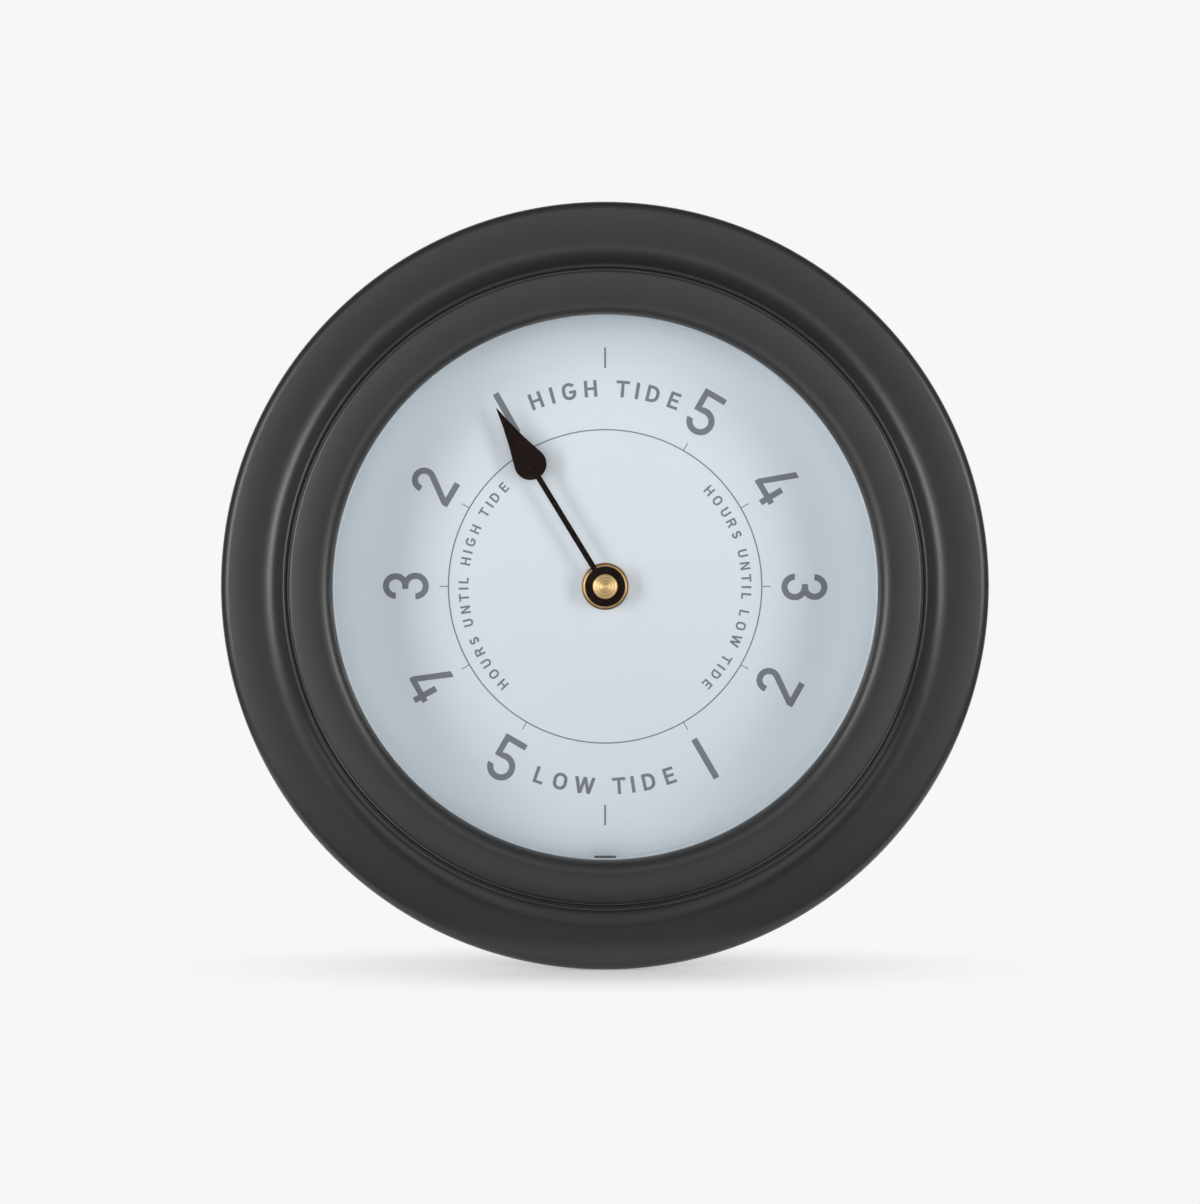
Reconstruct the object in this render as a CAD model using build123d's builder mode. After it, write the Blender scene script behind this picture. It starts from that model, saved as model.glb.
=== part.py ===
from build123d import *
import os
from math import atan2, cos, degrees, hypot, radians, sin

# Wall tide clock with one hand, in millimetres.
# The origin is the round hole of the hanger keyhole, in the plane of the wall.
# The dial faces -Y and +Z is up, so a depth d in front of the wall lies at y = -d.

# Whole clock
AXIS_DROP = 100.0  # from the keyhole down to the clock's axis
RIM_R = 120.0
FRONT_DEPTH = 45.0

# Case, spun from sheet steel: hem, rolled rim, crowned flange, cove, ledge and drum
CASE_SHEET = 0.9
HEM_INNER_R = 113.2
HEM_BEND_R = 1.8
CURL_R = 5.4
CROWN_R = 13.0
CROWN_TILT = 30.0
FLANGE_DEPTH = 9.8
FLANGE_FLAT_OUTER_R = 110.8
FLANGE_FLAT_INNER_R = 108.9
COVE_R = 9.3
LEDGE_DEPTH = 23.5
LEDGE_BEND_R = 1.2
DRUM_R = 96.6
DRUM_FRONT = 30.0

# Bezel, pressed from sheet steel, with a rolled bead that stands on the ledge
BEZEL_SHEET = 1.0
BEZEL_R = DRUM_R + BEZEL_SHEET
BEAD_R = 0.9
BEAD_OUTER_R = 99.3
SHOULDER_R = 5.5
INNER_EDGE_R = 2.5
FRONT_INNER_R = 87.0
WALL_LEAN = 12.0
OPENING_R = 83.0
SEAT_BEND_R = 1.6
SEAT_OUTER_R = 88.0
SEAT_DEPTH = 34.0

# Glass, its gasket and the white spacer ring between glass and dial
GASKET_THICK = 0.4
GASKET_INNER_R = 84.8
GLASS_R = 90.5
GLASS_THICK = 2.4
GLASS_FRONT = SEAT_DEPTH - GASKET_THICK
GLASS_BACK = GLASS_FRONT - GLASS_THICK
SPACER_INNER_R = 82.9
SPACER_WALL = 1.8
SPACER_FLANGE = 1.4
SPACER_FOOT_R = 95.3
SPACER_TOP_R = 92.4
SPACER_RIM_R = 90.9
SPACER_RIM_FRONT = 33.2
NOTCH_WIDTH = 6.8

# Dial, its moulded carrier and the lugs that hold the carrier
DIAL_R = 95.2
DIAL_THICK = 0.8
DIAL_FRONT = 21.2
DIAL_BACK = DIAL_FRONT - DIAL_THICK
CARRIER_R = 95.3
CARRIER_THICK = 2.2
CARRIER_BACK = DIAL_BACK - CARRIER_THICK
RIB_THICK = 1.6
RIB_BACK = 13.0
RIB_INNER_R = 46.0
RIB_OUTER_R = 78.0
RIB_COUNT = 12
LUG_SHEET = 1.2
LUG_ANGLES = (45, 135, 225, 315)
LUG_HALF_ANGLE = 5.5
LUG_BACK = RIB_BACK - LUG_SHEET
LUG_FRONT = 22.2
LUG_INNER_R = 83.5
LUG_BEND_R = 2.0
SCREW_CIRCLE_R = 88.0
BOSS_R = 3.6
SCREW_CORE_R = 1.3
SCREW_CLEAR_R = 1.7
SCREW_HEAD_R = 2.8
SCREW_HEAD_HIGH = 2.0
SCREW_TIP = 17.6

# Hanger plate, joggled over the hem
PLATE_SHEET = 1.2
PLATE_HALF_WIDTH = 15.0
PLATE_BOTTOM = -7.0
PLATE_STEP_START = 10.4
PLATE_STEP_END = 11.6
PLATE_TOP = 16.3
KEYHOLE_R = 4.25
KEYHOLE_SLOT_R = 2.3
KEYHOLE_RISE = 6.5

# Movement: distances are measured back from the front face of its case
MODULE_FRONT = 17.4
MODULE_HALF = 28.0
MODULE_THICK = 16.0
MODULE_SPLIT = 9.0
MODULE_WALL = 1.2
MODULE_CORNER_R = 3.0
INSIDE_HALF = MODULE_HALF - MODULE_WALL
REAR_WALL_FRONT = MODULE_THICK - MODULE_WALL
WELL_TOP = -11.4
PARTITION_TOP = -10.4
NOTCH_DEPTH = 0.6
CARRIER_HOLE_R = 4.15
FRAME_GAP = 0.2
FRAME_WALL = 1.3
FRAME_BACK = 15.4

# Hub, on the clock's axis
BUSHING_R = 4.0
BUSHING_FRONT = 23.9
BUSHING_FLANGE_R = 5.2
BUSHING_FLANGE_BACK = 2.0
ARBOR_R = 2.5
RUNNING_GAP = 0.06
RUBBER_R = 7.5
WASHER_R = 7.2
WASHER_THICK = 0.6
NUT_R = 6.65
NUT_THICK = 1.6
NUT_SLOT_WIDTH = 1.2
NUT_SLOT_DEEP = 0.8
NUT_SLOT_ANGLE = -41.7
ARBOR_STEP = 24.5
HUB_SEAT_R = 1.6
HUB_SEAT_FRONT = 26.3
THREAD_R = 1.2
THREAD_FRONT = 27.6
BUSH_FLANGE_R = 3.6
BUSH_FLANGE_FRONT = 24.9
BUSH_R = 2.6
CAP_R = 3.75
CAP_EDGE_FRONT = 27.9
CAP_FRONT = 28.4

# Hand
HAND_LEAN = 31.4  # left of 12 o'clock
HAND_BOSS_R = 6.15
HAND_BOSS_FRONT = 26.1
BLADE_BACK = 25.2
BLADE_FRONT = 25.8
STEM_WIDTH = 1.75
BULB_R = 4.95
BULB_AT = 44.0
FLANK_START = (45.6, 4.68)
FLANK_MIDDLE = (54.5, 2.09)
TIP = (63.9, 0.12)

# Gear teeth, in modules
WHEEL_TOOTH = 1.4
WHEEL_ADDENDUM = 1.25
WHEEL_DEDENDUM = 1.1
LEAF_TOOTH = 1.0
LEAF_ADDENDUM = 0.6
LEAF_DEDENDUM = 1.6

# Tooth counts: twelve turns of the centre arbor make one turn of the hand
MOTION_MODULE = 0.3
CANNON_LEAVES = 12
REVERSE_TEETH = 36
REVERSE_LEAVES = 10
TIDE_TEETH = 40
SETTING_LEAVES = 12
CENTRE_MODULE = 0.22
CENTRE_TEETH = 64
THIRD_LEAVES = 8
THIRD_MODULE = 0.2
THIRD_TEETH = 60
FOURTH_LEAVES = 8
FOURTH_MODULE = 0.18
FOURTH_TEETH = 60
FIFTH_LEAVES = 12
FIFTH_MODULE = 0.16
FIFTH_TEETH = 60
ROTOR_LEAVES = 10

# Train layers, behind the movement's front face
TIDE_WHEEL_LAYER = (2.3, 3.3)
REVERSE_PINION_LAYER = (2.15, 3.45)
REVERSE_WHEEL_LAYER = (4.2, 5.0)
CANNON_LAYER = (3.9, 5.3)
TRAIN_PLATE_LAYER = (6.2, 7.0)
CENTRE_WHEEL_LAYER = (7.55, 8.15)
THIRD_PINION_LAYER = (7.3, 8.6)
THIRD_WHEEL_LAYER = (9.3, 9.8)
FOURTH_PINION_LAYER = (9.0, 10.2)
FOURTH_WHEEL_LAYER = (10.8, 11.3)
FIFTH_PINION_LAYER = (10.5, 11.7)
FIFTH_WHEEL_LAYER = (12.2, 12.6)
ROTOR_PINION_LAYER = (11.9, 12.9)
STATOR_LAYER = (7.0, 7.8)
CORE_LAYER = (7.8, 8.8)
BOARD_LAYER = (8.0, 8.8)
PIVOT_R = 0.3
PIVOT_HOLE_R = 0.34
PIVOT_START = 6.35
SHOULDER_START = 7.05

# Setting knob, battery and electric parts
KNOB_RECESS_R = 6.6
KNOB_RECESS_FLOOR = 13.8
KNOB_R = 6.0
KNOB_LAYER = (14.0, 16.3)
KNOB_FLUTES = 24
STEM_R = 1.2
BATTERY_R = 7.1
BATTERY_HALF = 24.6
BATTERY_NUB_R = 2.75
BATTERY_NUB = 1.3
BATTERY_AT = -19.1
BATTERY_LAYER = 8.6
COIL_AT = 23.0
COIL_LAYER = 8.3
COIL_HALF = 8.5
COIL_R = 3.2
BOBBIN_R = 2.1
BOBBIN_FLANGE_R = 3.5
BOBBIN_FLANGE = 0.8
CORE_HALF = 13.2
CORE_WIDTH = 3.0
COIL_FOOT = 11.4
FOOT_SCREW_R = 0.6
CONTACT_SHEET = 0.4
CONTACT_GAP = 0.04

SECTION = Plane(origin=(0, 0, -AXIS_DROP), x_dir=(1, 0, 0), z_dir=(0, 0, -1))
CLOCK_AXIS = Axis((0, 0, -AXIS_DROP), (0, -1, 0))


def facing(depth):
    """Plane square to the clock's axis, looking out of the dial, at a depth from the wall."""
    return Plane(origin=(0, -depth, -AXIS_DROP), x_dir=(1, 0, 0), z_dir=(0, -1, 0))


def inside(back):
    """The same plane, at a distance behind the movement's front face."""
    return facing(MODULE_FRONT - back)


def section_at(angle):
    """Half section of the clock at an angle round its axis: x is radius, y is depth."""
    a = radians(angle)
    return Plane(
        origin=(0, 0, -AXIS_DROP),
        x_dir=(cos(a), 0, sin(a)),
        z_dir=(sin(a), 0, -cos(a)),
    )


def ring(inner_r, outer_r, back, front):
    """Rectangle in the half section, which becomes a ring when it is revolved."""
    with Locations(((inner_r + outer_r) / 2, (back + front) / 2)):
        Rectangle(outer_r - inner_r, front - back)


def disc(at, radius, layer, mode=Mode.ADD):
    """Round slab inside the movement, through a layer of two distances."""
    front, back = layer
    with BuildSketch(inside(back)) as outline:
        with Locations(at):
            Circle(radius)
    extrude(outline.sketch, amount=back - front, mode=mode)


def slab(low, high, layer, mode=Mode.ADD, corner=0.0):
    """Square slab inside the movement, between two corners and through a layer."""
    front, back = layer
    width = high[0] - low[0]
    height = high[1] - low[1]
    with BuildSketch(inside(back)) as outline:
        with Locations(((low[0] + high[0]) / 2, (low[1] + high[1]) / 2)):
            if corner:
                RectangleRounded(width, height, corner)
            else:
                Rectangle(width, height)
    extrude(outline.sketch, amount=back - front, mode=mode)


def polar(start, distance, angle):
    """Point at a distance and angle from another."""
    return (
        start[0] + distance * cos(radians(angle)),
        start[1] + distance * sin(radians(angle)),
    )


def distance_between(module, teeth, leaves):
    """Centre distance of a wheel and the pinion that it meshes with."""
    return module * (teeth + leaves) / 2


def meshing(own_teeth, own_at, other_teeth, other_at, other_tooth):
    """Angle of one tooth of a gear, so that it meshes with a gear already set."""
    line = degrees(atan2(own_at[1] - other_at[1], own_at[0] - other_at[0]))
    phase = ((line - other_tooth) * other_teeth / 360) % 1
    return line + 180 - (0.5 - phase) * 360 / own_teeth


def gear(teeth, module, at, tooth, layer, tooth_wide, addendum, dedendum):
    """Gear rim with radial flanks and rounded tips, set by the angle of one tooth."""
    pitch_r = teeth * module / 2
    tip = pitch_r + addendum * module
    root = pitch_r - dedendum * module
    half = tooth_wide * module / 2
    rise = addendum * module
    flank_r = (half**2 + rise**2) / (2 * half)
    bulge = (flank_r**2 - (rise / 2) ** 2) ** 0.5 - (flank_r - half)
    pitch_angle = degrees(half / pitch_r)
    bulge_angle = degrees(bulge / (pitch_r + rise / 2))
    step = 360 / teeth
    front, back = layer
    with BuildSketch(inside(back)) as outline:
        with BuildLine():
            for index in range(teeth):
                middle = tooth + index * step
                left = middle + pitch_angle
                right = middle - pitch_angle
                Line(polar(at, root, right), polar(at, pitch_r, right))
                ThreePointArc(
                    polar(at, pitch_r, right),
                    polar(at, pitch_r + rise / 2, middle - bulge_angle),
                    polar(at, tip, middle),
                )
                ThreePointArc(
                    polar(at, tip, middle),
                    polar(at, pitch_r + rise / 2, middle + bulge_angle),
                    polar(at, pitch_r, left),
                )
                Line(polar(at, pitch_r, left), polar(at, root, left))
                ThreePointArc(
                    polar(at, root, left),
                    polar(at, root, middle + step / 2),
                    polar(at, root, right + step),
                )
        make_face()
    extrude(outline.sketch, amount=back - front)


def wheel(teeth, module, at, tooth, layer):
    """Driving wheel with tall teeth."""
    gear(teeth, module, at, tooth, layer, WHEEL_TOOTH, WHEEL_ADDENDUM, WHEEL_DEDENDUM)


def pinion(leaves, module, at, tooth, layer):
    """Pinion with slim leaves and deep gaps."""
    gear(leaves, module, at, tooth, layer, LEAF_TOOTH, LEAF_ADDENDUM, LEAF_DEDENDUM)


def save(part, name):
    """Name a finished piece and write it."""
    part.label = name
    export_step(part, f"parts/{name}.step")


# Places of the train's axes, seen from the front, from the clock's axis
CENTRE_AT = (0.0, 0.0)
REVERSE_AT = polar(CENTRE_AT, distance_between(MOTION_MODULE, REVERSE_TEETH, CANNON_LEAVES), 45)
SETTING_AT = polar(REVERSE_AT, distance_between(MOTION_MODULE, REVERSE_TEETH, SETTING_LEAVES), 0)
THIRD_AT = polar(CENTRE_AT, distance_between(CENTRE_MODULE, CENTRE_TEETH, THIRD_LEAVES), 120)
FOURTH_AT = polar(THIRD_AT, distance_between(THIRD_MODULE, THIRD_TEETH, FOURTH_LEAVES), 150)
FIFTH_AT = polar(FOURTH_AT, distance_between(FOURTH_MODULE, FOURTH_TEETH, FIFTH_LEAVES), 60)
ROTOR_AT = polar(FIFTH_AT, distance_between(FIFTH_MODULE, FIFTH_TEETH, ROTOR_LEAVES), 0)
TIDE_MODULE = 2 * hypot(*REVERSE_AT) / (TIDE_TEETH + REVERSE_LEAVES)

# Angle of one tooth of each gear at rest
REVERSE_TOOTH = 0.0
CANNON_TOOTH = meshing(CANNON_LEAVES, CENTRE_AT, REVERSE_TEETH, REVERSE_AT, REVERSE_TOOTH)
SETTING_TOOTH = meshing(SETTING_LEAVES, SETTING_AT, REVERSE_TEETH, REVERSE_AT, REVERSE_TOOTH)
TIDE_TOOTH = meshing(TIDE_TEETH, CENTRE_AT, REVERSE_LEAVES, REVERSE_AT, REVERSE_TOOTH)
CENTRE_TOOTH = 0.0
THIRD_LEAF = meshing(THIRD_LEAVES, THIRD_AT, CENTRE_TEETH, CENTRE_AT, CENTRE_TOOTH)
THIRD_TOOTH = THIRD_LEAF
FOURTH_LEAF = meshing(FOURTH_LEAVES, FOURTH_AT, THIRD_TEETH, THIRD_AT, THIRD_TOOTH)
FOURTH_TOOTH = FOURTH_LEAF
FIFTH_LEAF = meshing(FIFTH_LEAVES, FIFTH_AT, FOURTH_TEETH, FOURTH_AT, FOURTH_TOOTH)
FIFTH_TOOTH = FIFTH_LEAF
ROTOR_LEAF = meshing(ROTOR_LEAVES, ROTOR_AT, FIFTH_TEETH, FIFTH_AT, FIFTH_TOOTH)

os.makedirs("parts", exist_ok=True)

# Case shell, from the hem on the wall out round the rim and in to the drum
crown_sin = sin(radians(CROWN_TILT))
crown_cos = cos(radians(CROWN_TILT))
curl_at = (RIM_R - CURL_R, FLANGE_DEPTH - CROWN_R + (CROWN_R - CURL_R) * crown_cos)
cove_at = (FLANGE_FLAT_INNER_R, FLANGE_DEPTH + COVE_R)
ledge_bend_at = (FLANGE_FLAT_INNER_R - COVE_R - LEDGE_BEND_R, LEDGE_DEPTH - LEDGE_BEND_R)
with BuildPart() as case_shell:
    with BuildSketch(SECTION):
        with BuildLine():
            Line((HEM_INNER_R, 0), (RIM_R - HEM_BEND_R, 0))
            hem_bend = CenterArc((RIM_R - HEM_BEND_R, HEM_BEND_R), HEM_BEND_R, -90, 90)
            curl = CenterArc(curl_at, CURL_R, 0, 90 - CROWN_TILT)
            Line(hem_bend @ 1, curl @ 0)
            crown_at = (FLANGE_FLAT_OUTER_R, FLANGE_DEPTH - CROWN_R)
            crown = CenterArc(crown_at, CROWN_R, 90 - CROWN_TILT, CROWN_TILT)
            cove = CenterArc(cove_at, COVE_R, -90, -90)
            Line(crown @ 1, cove @ 0)
            ledge_bend = CenterArc(ledge_bend_at, LEDGE_BEND_R, 0, 90)
            Line(cove @ 1, ledge_bend @ 0)
            Line(ledge_bend @ 1, (DRUM_R, LEDGE_DEPTH))
            Line((DRUM_R, LEDGE_DEPTH), (DRUM_R, DRUM_FRONT))
            offset(amount=CASE_SHEET, side=Side.LEFT)
        make_face()
    revolve(axis=CLOCK_AXIS)
save(case_shell.part, "case_shell")

# Bezel, from the bead on the ledge over the front to the glass seat
shoulder_at = (BEZEL_R - SHOULDER_R, FRONT_DEPTH - SHOULDER_R)
edge_at = (FRONT_INNER_R, FRONT_DEPTH - INNER_EDGE_R)
seat_bend_at = (OPENING_R + SEAT_BEND_R, SEAT_DEPTH + SEAT_BEND_R)
with BuildPart() as bezel:
    with BuildSketch(SECTION):
        with BuildLine():
            shoulder = CenterArc(shoulder_at, SHOULDER_R, 0, 90)
            Line((BEZEL_R, LEDGE_DEPTH), shoulder @ 0)
            edge = CenterArc(edge_at, INNER_EDGE_R, 90, 90 - WALL_LEAN)
            Line(shoulder @ 1, edge @ 0)
            seat_bend = CenterArc(seat_bend_at, SEAT_BEND_R, 180 - WALL_LEAN, 90 + WALL_LEAN)
            Line(edge @ 1, seat_bend @ 0)
            Line(seat_bend @ 1, (SEAT_OUTER_R, SEAT_DEPTH))
            offset(amount=BEZEL_SHEET, side=Side.RIGHT)
        make_face()
        with Locations((BEAD_OUTER_R - BEAD_R, LEDGE_DEPTH + BEAD_R)):
            Circle(BEAD_R)
    revolve(axis=CLOCK_AXIS)
save(bezel.part, "bezel")

# Glass gasket, behind the bezel's seat
with BuildPart() as glass_gasket:
    with BuildSketch(SECTION):
        ring(GASKET_INNER_R, GLASS_R - 0.2, GLASS_FRONT, SEAT_DEPTH)
    revolve(axis=CLOCK_AXIS)
save(glass_gasket.part, "glass_gasket")

# Flat glass
with BuildPart() as glass:
    with BuildSketch(facing(GLASS_BACK)):
        Circle(GLASS_R)
    extrude(amount=GLASS_THICK)
    chamfer(glass.edges().filter_by(GeomType.CIRCLE), length=0.3)
save(glass.part, "glass")

# Spacer ring: a wall with a foot on the dial, a seat for the glass and a rim round it
with BuildPart() as spacer_ring:
    with BuildSketch(SECTION):
        ring(SPACER_INNER_R, SPACER_INNER_R + SPACER_WALL, DIAL_FRONT, GLASS_BACK)
        ring(SPACER_INNER_R, SPACER_FOOT_R, DIAL_FRONT, DIAL_FRONT + SPACER_FLANGE)
        ring(SPACER_INNER_R, SPACER_TOP_R, GLASS_BACK - SPACER_FLANGE, GLASS_BACK)
        ring(SPACER_RIM_R, SPACER_TOP_R, GLASS_BACK - SPACER_FLANGE, SPACER_RIM_FRONT)
    revolve(axis=CLOCK_AXIS)
    with BuildSketch(facing(DIAL_FRONT + SPACER_FLANGE)):
        with Locations((0, -SPACER_INNER_R - SPACER_WALL / 2)):
            Rectangle(NOTCH_WIDTH, 2 * SPACER_WALL)
    extrude(amount=GLASS_BACK - DIAL_FRONT - 2 * SPACER_FLANGE, mode=Mode.SUBTRACT)
save(spacer_ring.part, "spacer_ring")

# Dial plate
with BuildPart() as dial:
    with BuildSketch(facing(DIAL_BACK)):
        Circle(DIAL_R)
        Circle(CARRIER_HOLE_R, mode=Mode.SUBTRACT)
    extrude(amount=DIAL_THICK)
save(dial.part, "dial")

# Dial carrier, moulded, with ribs, screw bosses and a frame round the movement
frame_inner = 2 * (MODULE_HALF + FRAME_GAP)
frame_outer = frame_inner + 2 * FRAME_WALL
with BuildPart() as dial_carrier:
    with BuildSketch(SECTION):
        ring(0, CARRIER_R, CARRIER_BACK, DIAL_BACK)
        ring(RIB_INNER_R, RIB_INNER_R + RIB_THICK, RIB_BACK, CARRIER_BACK)
        ring(RIB_OUTER_R, RIB_OUTER_R + RIB_THICK, RIB_BACK, CARRIER_BACK)
    revolve(axis=CLOCK_AXIS)
    with BuildSketch(facing(RIB_BACK)):
        with PolarLocations((RIB_INNER_R + RIB_OUTER_R + RIB_THICK) / 2, RIB_COUNT):
            Rectangle(RIB_OUTER_R - RIB_INNER_R, RIB_THICK)
        with PolarLocations(SCREW_CIRCLE_R, len(LUG_ANGLES), start_angle=LUG_ANGLES[0]):
            Circle(BOSS_R)
    extrude(amount=CARRIER_BACK - RIB_BACK)
    with BuildSketch(facing(FRAME_BACK)):
        RectangleRounded(frame_outer, frame_outer, MODULE_CORNER_R + FRAME_WALL)
        RectangleRounded(frame_inner, frame_inner, MODULE_CORNER_R, mode=Mode.SUBTRACT)
    extrude(amount=CARRIER_BACK - FRAME_BACK)
    with BuildSketch(facing(RIB_BACK)):
        with PolarLocations(SCREW_CIRCLE_R, len(LUG_ANGLES), start_angle=LUG_ANGLES[0]):
            Circle(SCREW_CORE_R)
    extrude(amount=SCREW_TIP - RIB_BACK, mode=Mode.SUBTRACT)
    with BuildSketch(facing(CARRIER_BACK)):
        Circle(CARRIER_HOLE_R)
    extrude(amount=CARRIER_THICK, mode=Mode.SUBTRACT)
save(dial_carrier.part, "dial_carrier")

# Fixing lugs, angle brackets welded inside the case wall
lug_outer_r = FLANGE_FLAT_INNER_R - COVE_R - CASE_SHEET
with BuildPart() as fixing_lugs:
    for angle in LUG_ANGLES:
        with BuildSketch(section_at(angle - LUG_HALF_ANGLE)):
            with BuildLine():
                lug_bend_at = (lug_outer_r - LUG_BEND_R, LUG_BACK + LUG_BEND_R)
                lug_bend = CenterArc(lug_bend_at, LUG_BEND_R, 0, -90)
                Line((lug_outer_r, LUG_FRONT), lug_bend @ 0)
                Line(lug_bend @ 1, (LUG_INNER_R, LUG_BACK))
                offset(amount=LUG_SHEET, side=Side.RIGHT)
            make_face()
        revolve(axis=CLOCK_AXIS, revolution_arc=2 * LUG_HALF_ANGLE)
    with BuildSketch(facing(LUG_BACK)):
        with PolarLocations(SCREW_CIRCLE_R, len(LUG_ANGLES), start_angle=LUG_ANGLES[0]):
            Circle(SCREW_CLEAR_R)
    extrude(amount=LUG_SHEET, mode=Mode.SUBTRACT)
save(fixing_lugs.part, "fixing_lugs")

# Fixing screws, pan heads with a cross recess, driven from behind
with BuildPart() as fixing_screws:
    with BuildSketch(facing(LUG_BACK - SCREW_HEAD_HIGH)):
        with PolarLocations(SCREW_CIRCLE_R, len(LUG_ANGLES), start_angle=LUG_ANGLES[0]):
            Circle(SCREW_HEAD_R)
    extrude(amount=SCREW_HEAD_HIGH)
    head_edges = fixing_screws.edges().filter_by(GeomType.CIRCLE).group_by(Axis.Y)[-1]
    fillet(head_edges, radius=SCREW_HEAD_HIGH * 0.6)
    with BuildSketch(facing(LUG_BACK)):
        with PolarLocations(SCREW_CIRCLE_R, len(LUG_ANGLES), start_angle=LUG_ANGLES[0]):
            Circle(SCREW_CORE_R)
    extrude(amount=SCREW_TIP - LUG_BACK)
    with BuildSketch(facing(LUG_BACK - SCREW_HEAD_HIGH)):
        with PolarLocations(SCREW_CIRCLE_R, len(LUG_ANGLES), start_angle=LUG_ANGLES[0]):
            Rectangle(SCREW_HEAD_R * 1.2, 0.7)
            Rectangle(0.7, SCREW_HEAD_R * 1.2)
    extrude(amount=SCREW_HEAD_HIGH * 0.55, mode=Mode.SUBTRACT)
save(fixing_screws.part, "fixing_screws")

# Hanger plate with its keyhole, welded to the inside of the hem
UPRIGHT = Plane(origin=(0, 0, 0), x_dir=(0, 0, 1), z_dir=(1, 0, 0))
BACK_FACE = Plane(origin=(0, 0, 0), x_dir=(1, 0, 0), z_dir=(0, -1, 0))
with BuildPart() as hanger_plate:
    with BuildSketch(UPRIGHT):
        with BuildLine():
            Polyline(
                (PLATE_BOTTOM, 0),
                (PLATE_STEP_START, 0),
                (PLATE_STEP_END, CASE_SHEET),
                (PLATE_TOP, CASE_SHEET),
            )
            offset(amount=PLATE_SHEET, side=Side.LEFT, kind=Kind.INTERSECTION)
        make_face()
    extrude(amount=PLATE_HALF_WIDTH, both=True)
    plate_corners = hanger_plate.edges().filter_by(Axis.Y)
    fillet(plate_corners, radius=2.0)
    with BuildSketch(BACK_FACE):
        Circle(KEYHOLE_R)
        with Locations((0, KEYHOLE_RISE / 2)):
            Rectangle(2 * KEYHOLE_SLOT_R, KEYHOLE_RISE)
        with Locations((0, KEYHOLE_RISE)):
            Circle(KEYHOLE_SLOT_R)
    extrude(amount=PLATE_SHEET + CASE_SHEET, mode=Mode.SUBTRACT)
save(hanger_plate.part, "hanger_plate")

# Front half of the movement's case, with its posts
TRAIN_POSTS = ((-17.0, -6.5), (7.5, -6.5), (-17.0, 16.5), (7.0, 12.5))
BOARD_POSTS = ((23.5, -4.0), (23.5, 20.0))
COIL_POSTS = ((-COIL_FOOT, COIL_AT), (COIL_FOOT, COIL_AT))
with BuildPart() as movement_front_case:
    module_low = (-MODULE_HALF, -MODULE_HALF)
    module_high = (MODULE_HALF, MODULE_HALF)
    slab(module_low, module_high, (0, MODULE_SPLIT), corner=MODULE_CORNER_R)
    front_cavity = (MODULE_WALL, MODULE_SPLIT)
    slab((-INSIDE_HALF, PARTITION_TOP), (INSIDE_HALF, INSIDE_HALF), front_cavity, Mode.SUBTRACT)
    slab((-INSIDE_HALF, -INSIDE_HALF), (INSIDE_HALF, WELL_TOP), front_cavity, Mode.SUBTRACT)
    for side in (-1, 1):
        notch_low = (min(side * 24.6, side * INSIDE_HALF), WELL_TOP)
        notch_high = (max(side * 24.6, side * INSIDE_HALF), PARTITION_TOP)
        slab(notch_low, notch_high, (6.0, MODULE_SPLIT), Mode.SUBTRACT)
    disc(CENTRE_AT, BUSHING_R, (0, MODULE_WALL), Mode.SUBTRACT)
    disc(REVERSE_AT, 1.3, (MODULE_WALL, 2.1))
    disc(REVERSE_AT, 0.8, (2.1, 6.1))
    disc(SETTING_AT, 2.4, (MODULE_WALL, 2.8))
    disc(SETTING_AT, 0.85, (1.4, 2.8), Mode.SUBTRACT)
    for post in TRAIN_POSTS:
        disc(post, 1.6, (MODULE_WALL, TRAIN_PLATE_LAYER[0]))
        disc(post, 0.8, TRAIN_PLATE_LAYER)
    for post in BOARD_POSTS:
        disc(post, 1.6, (MODULE_WALL, BOARD_LAYER[0]))
        disc(post, 0.7, (BOARD_LAYER[0], 9.2))
    for post in COIL_POSTS:
        disc(post, 1.7, (MODULE_WALL, STATOR_LAYER[0]))
        disc(post, FOOT_SCREW_R, (3.0, STATOR_LAYER[0]), Mode.SUBTRACT)
save(movement_front_case.part, "movement_front_case")

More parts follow.
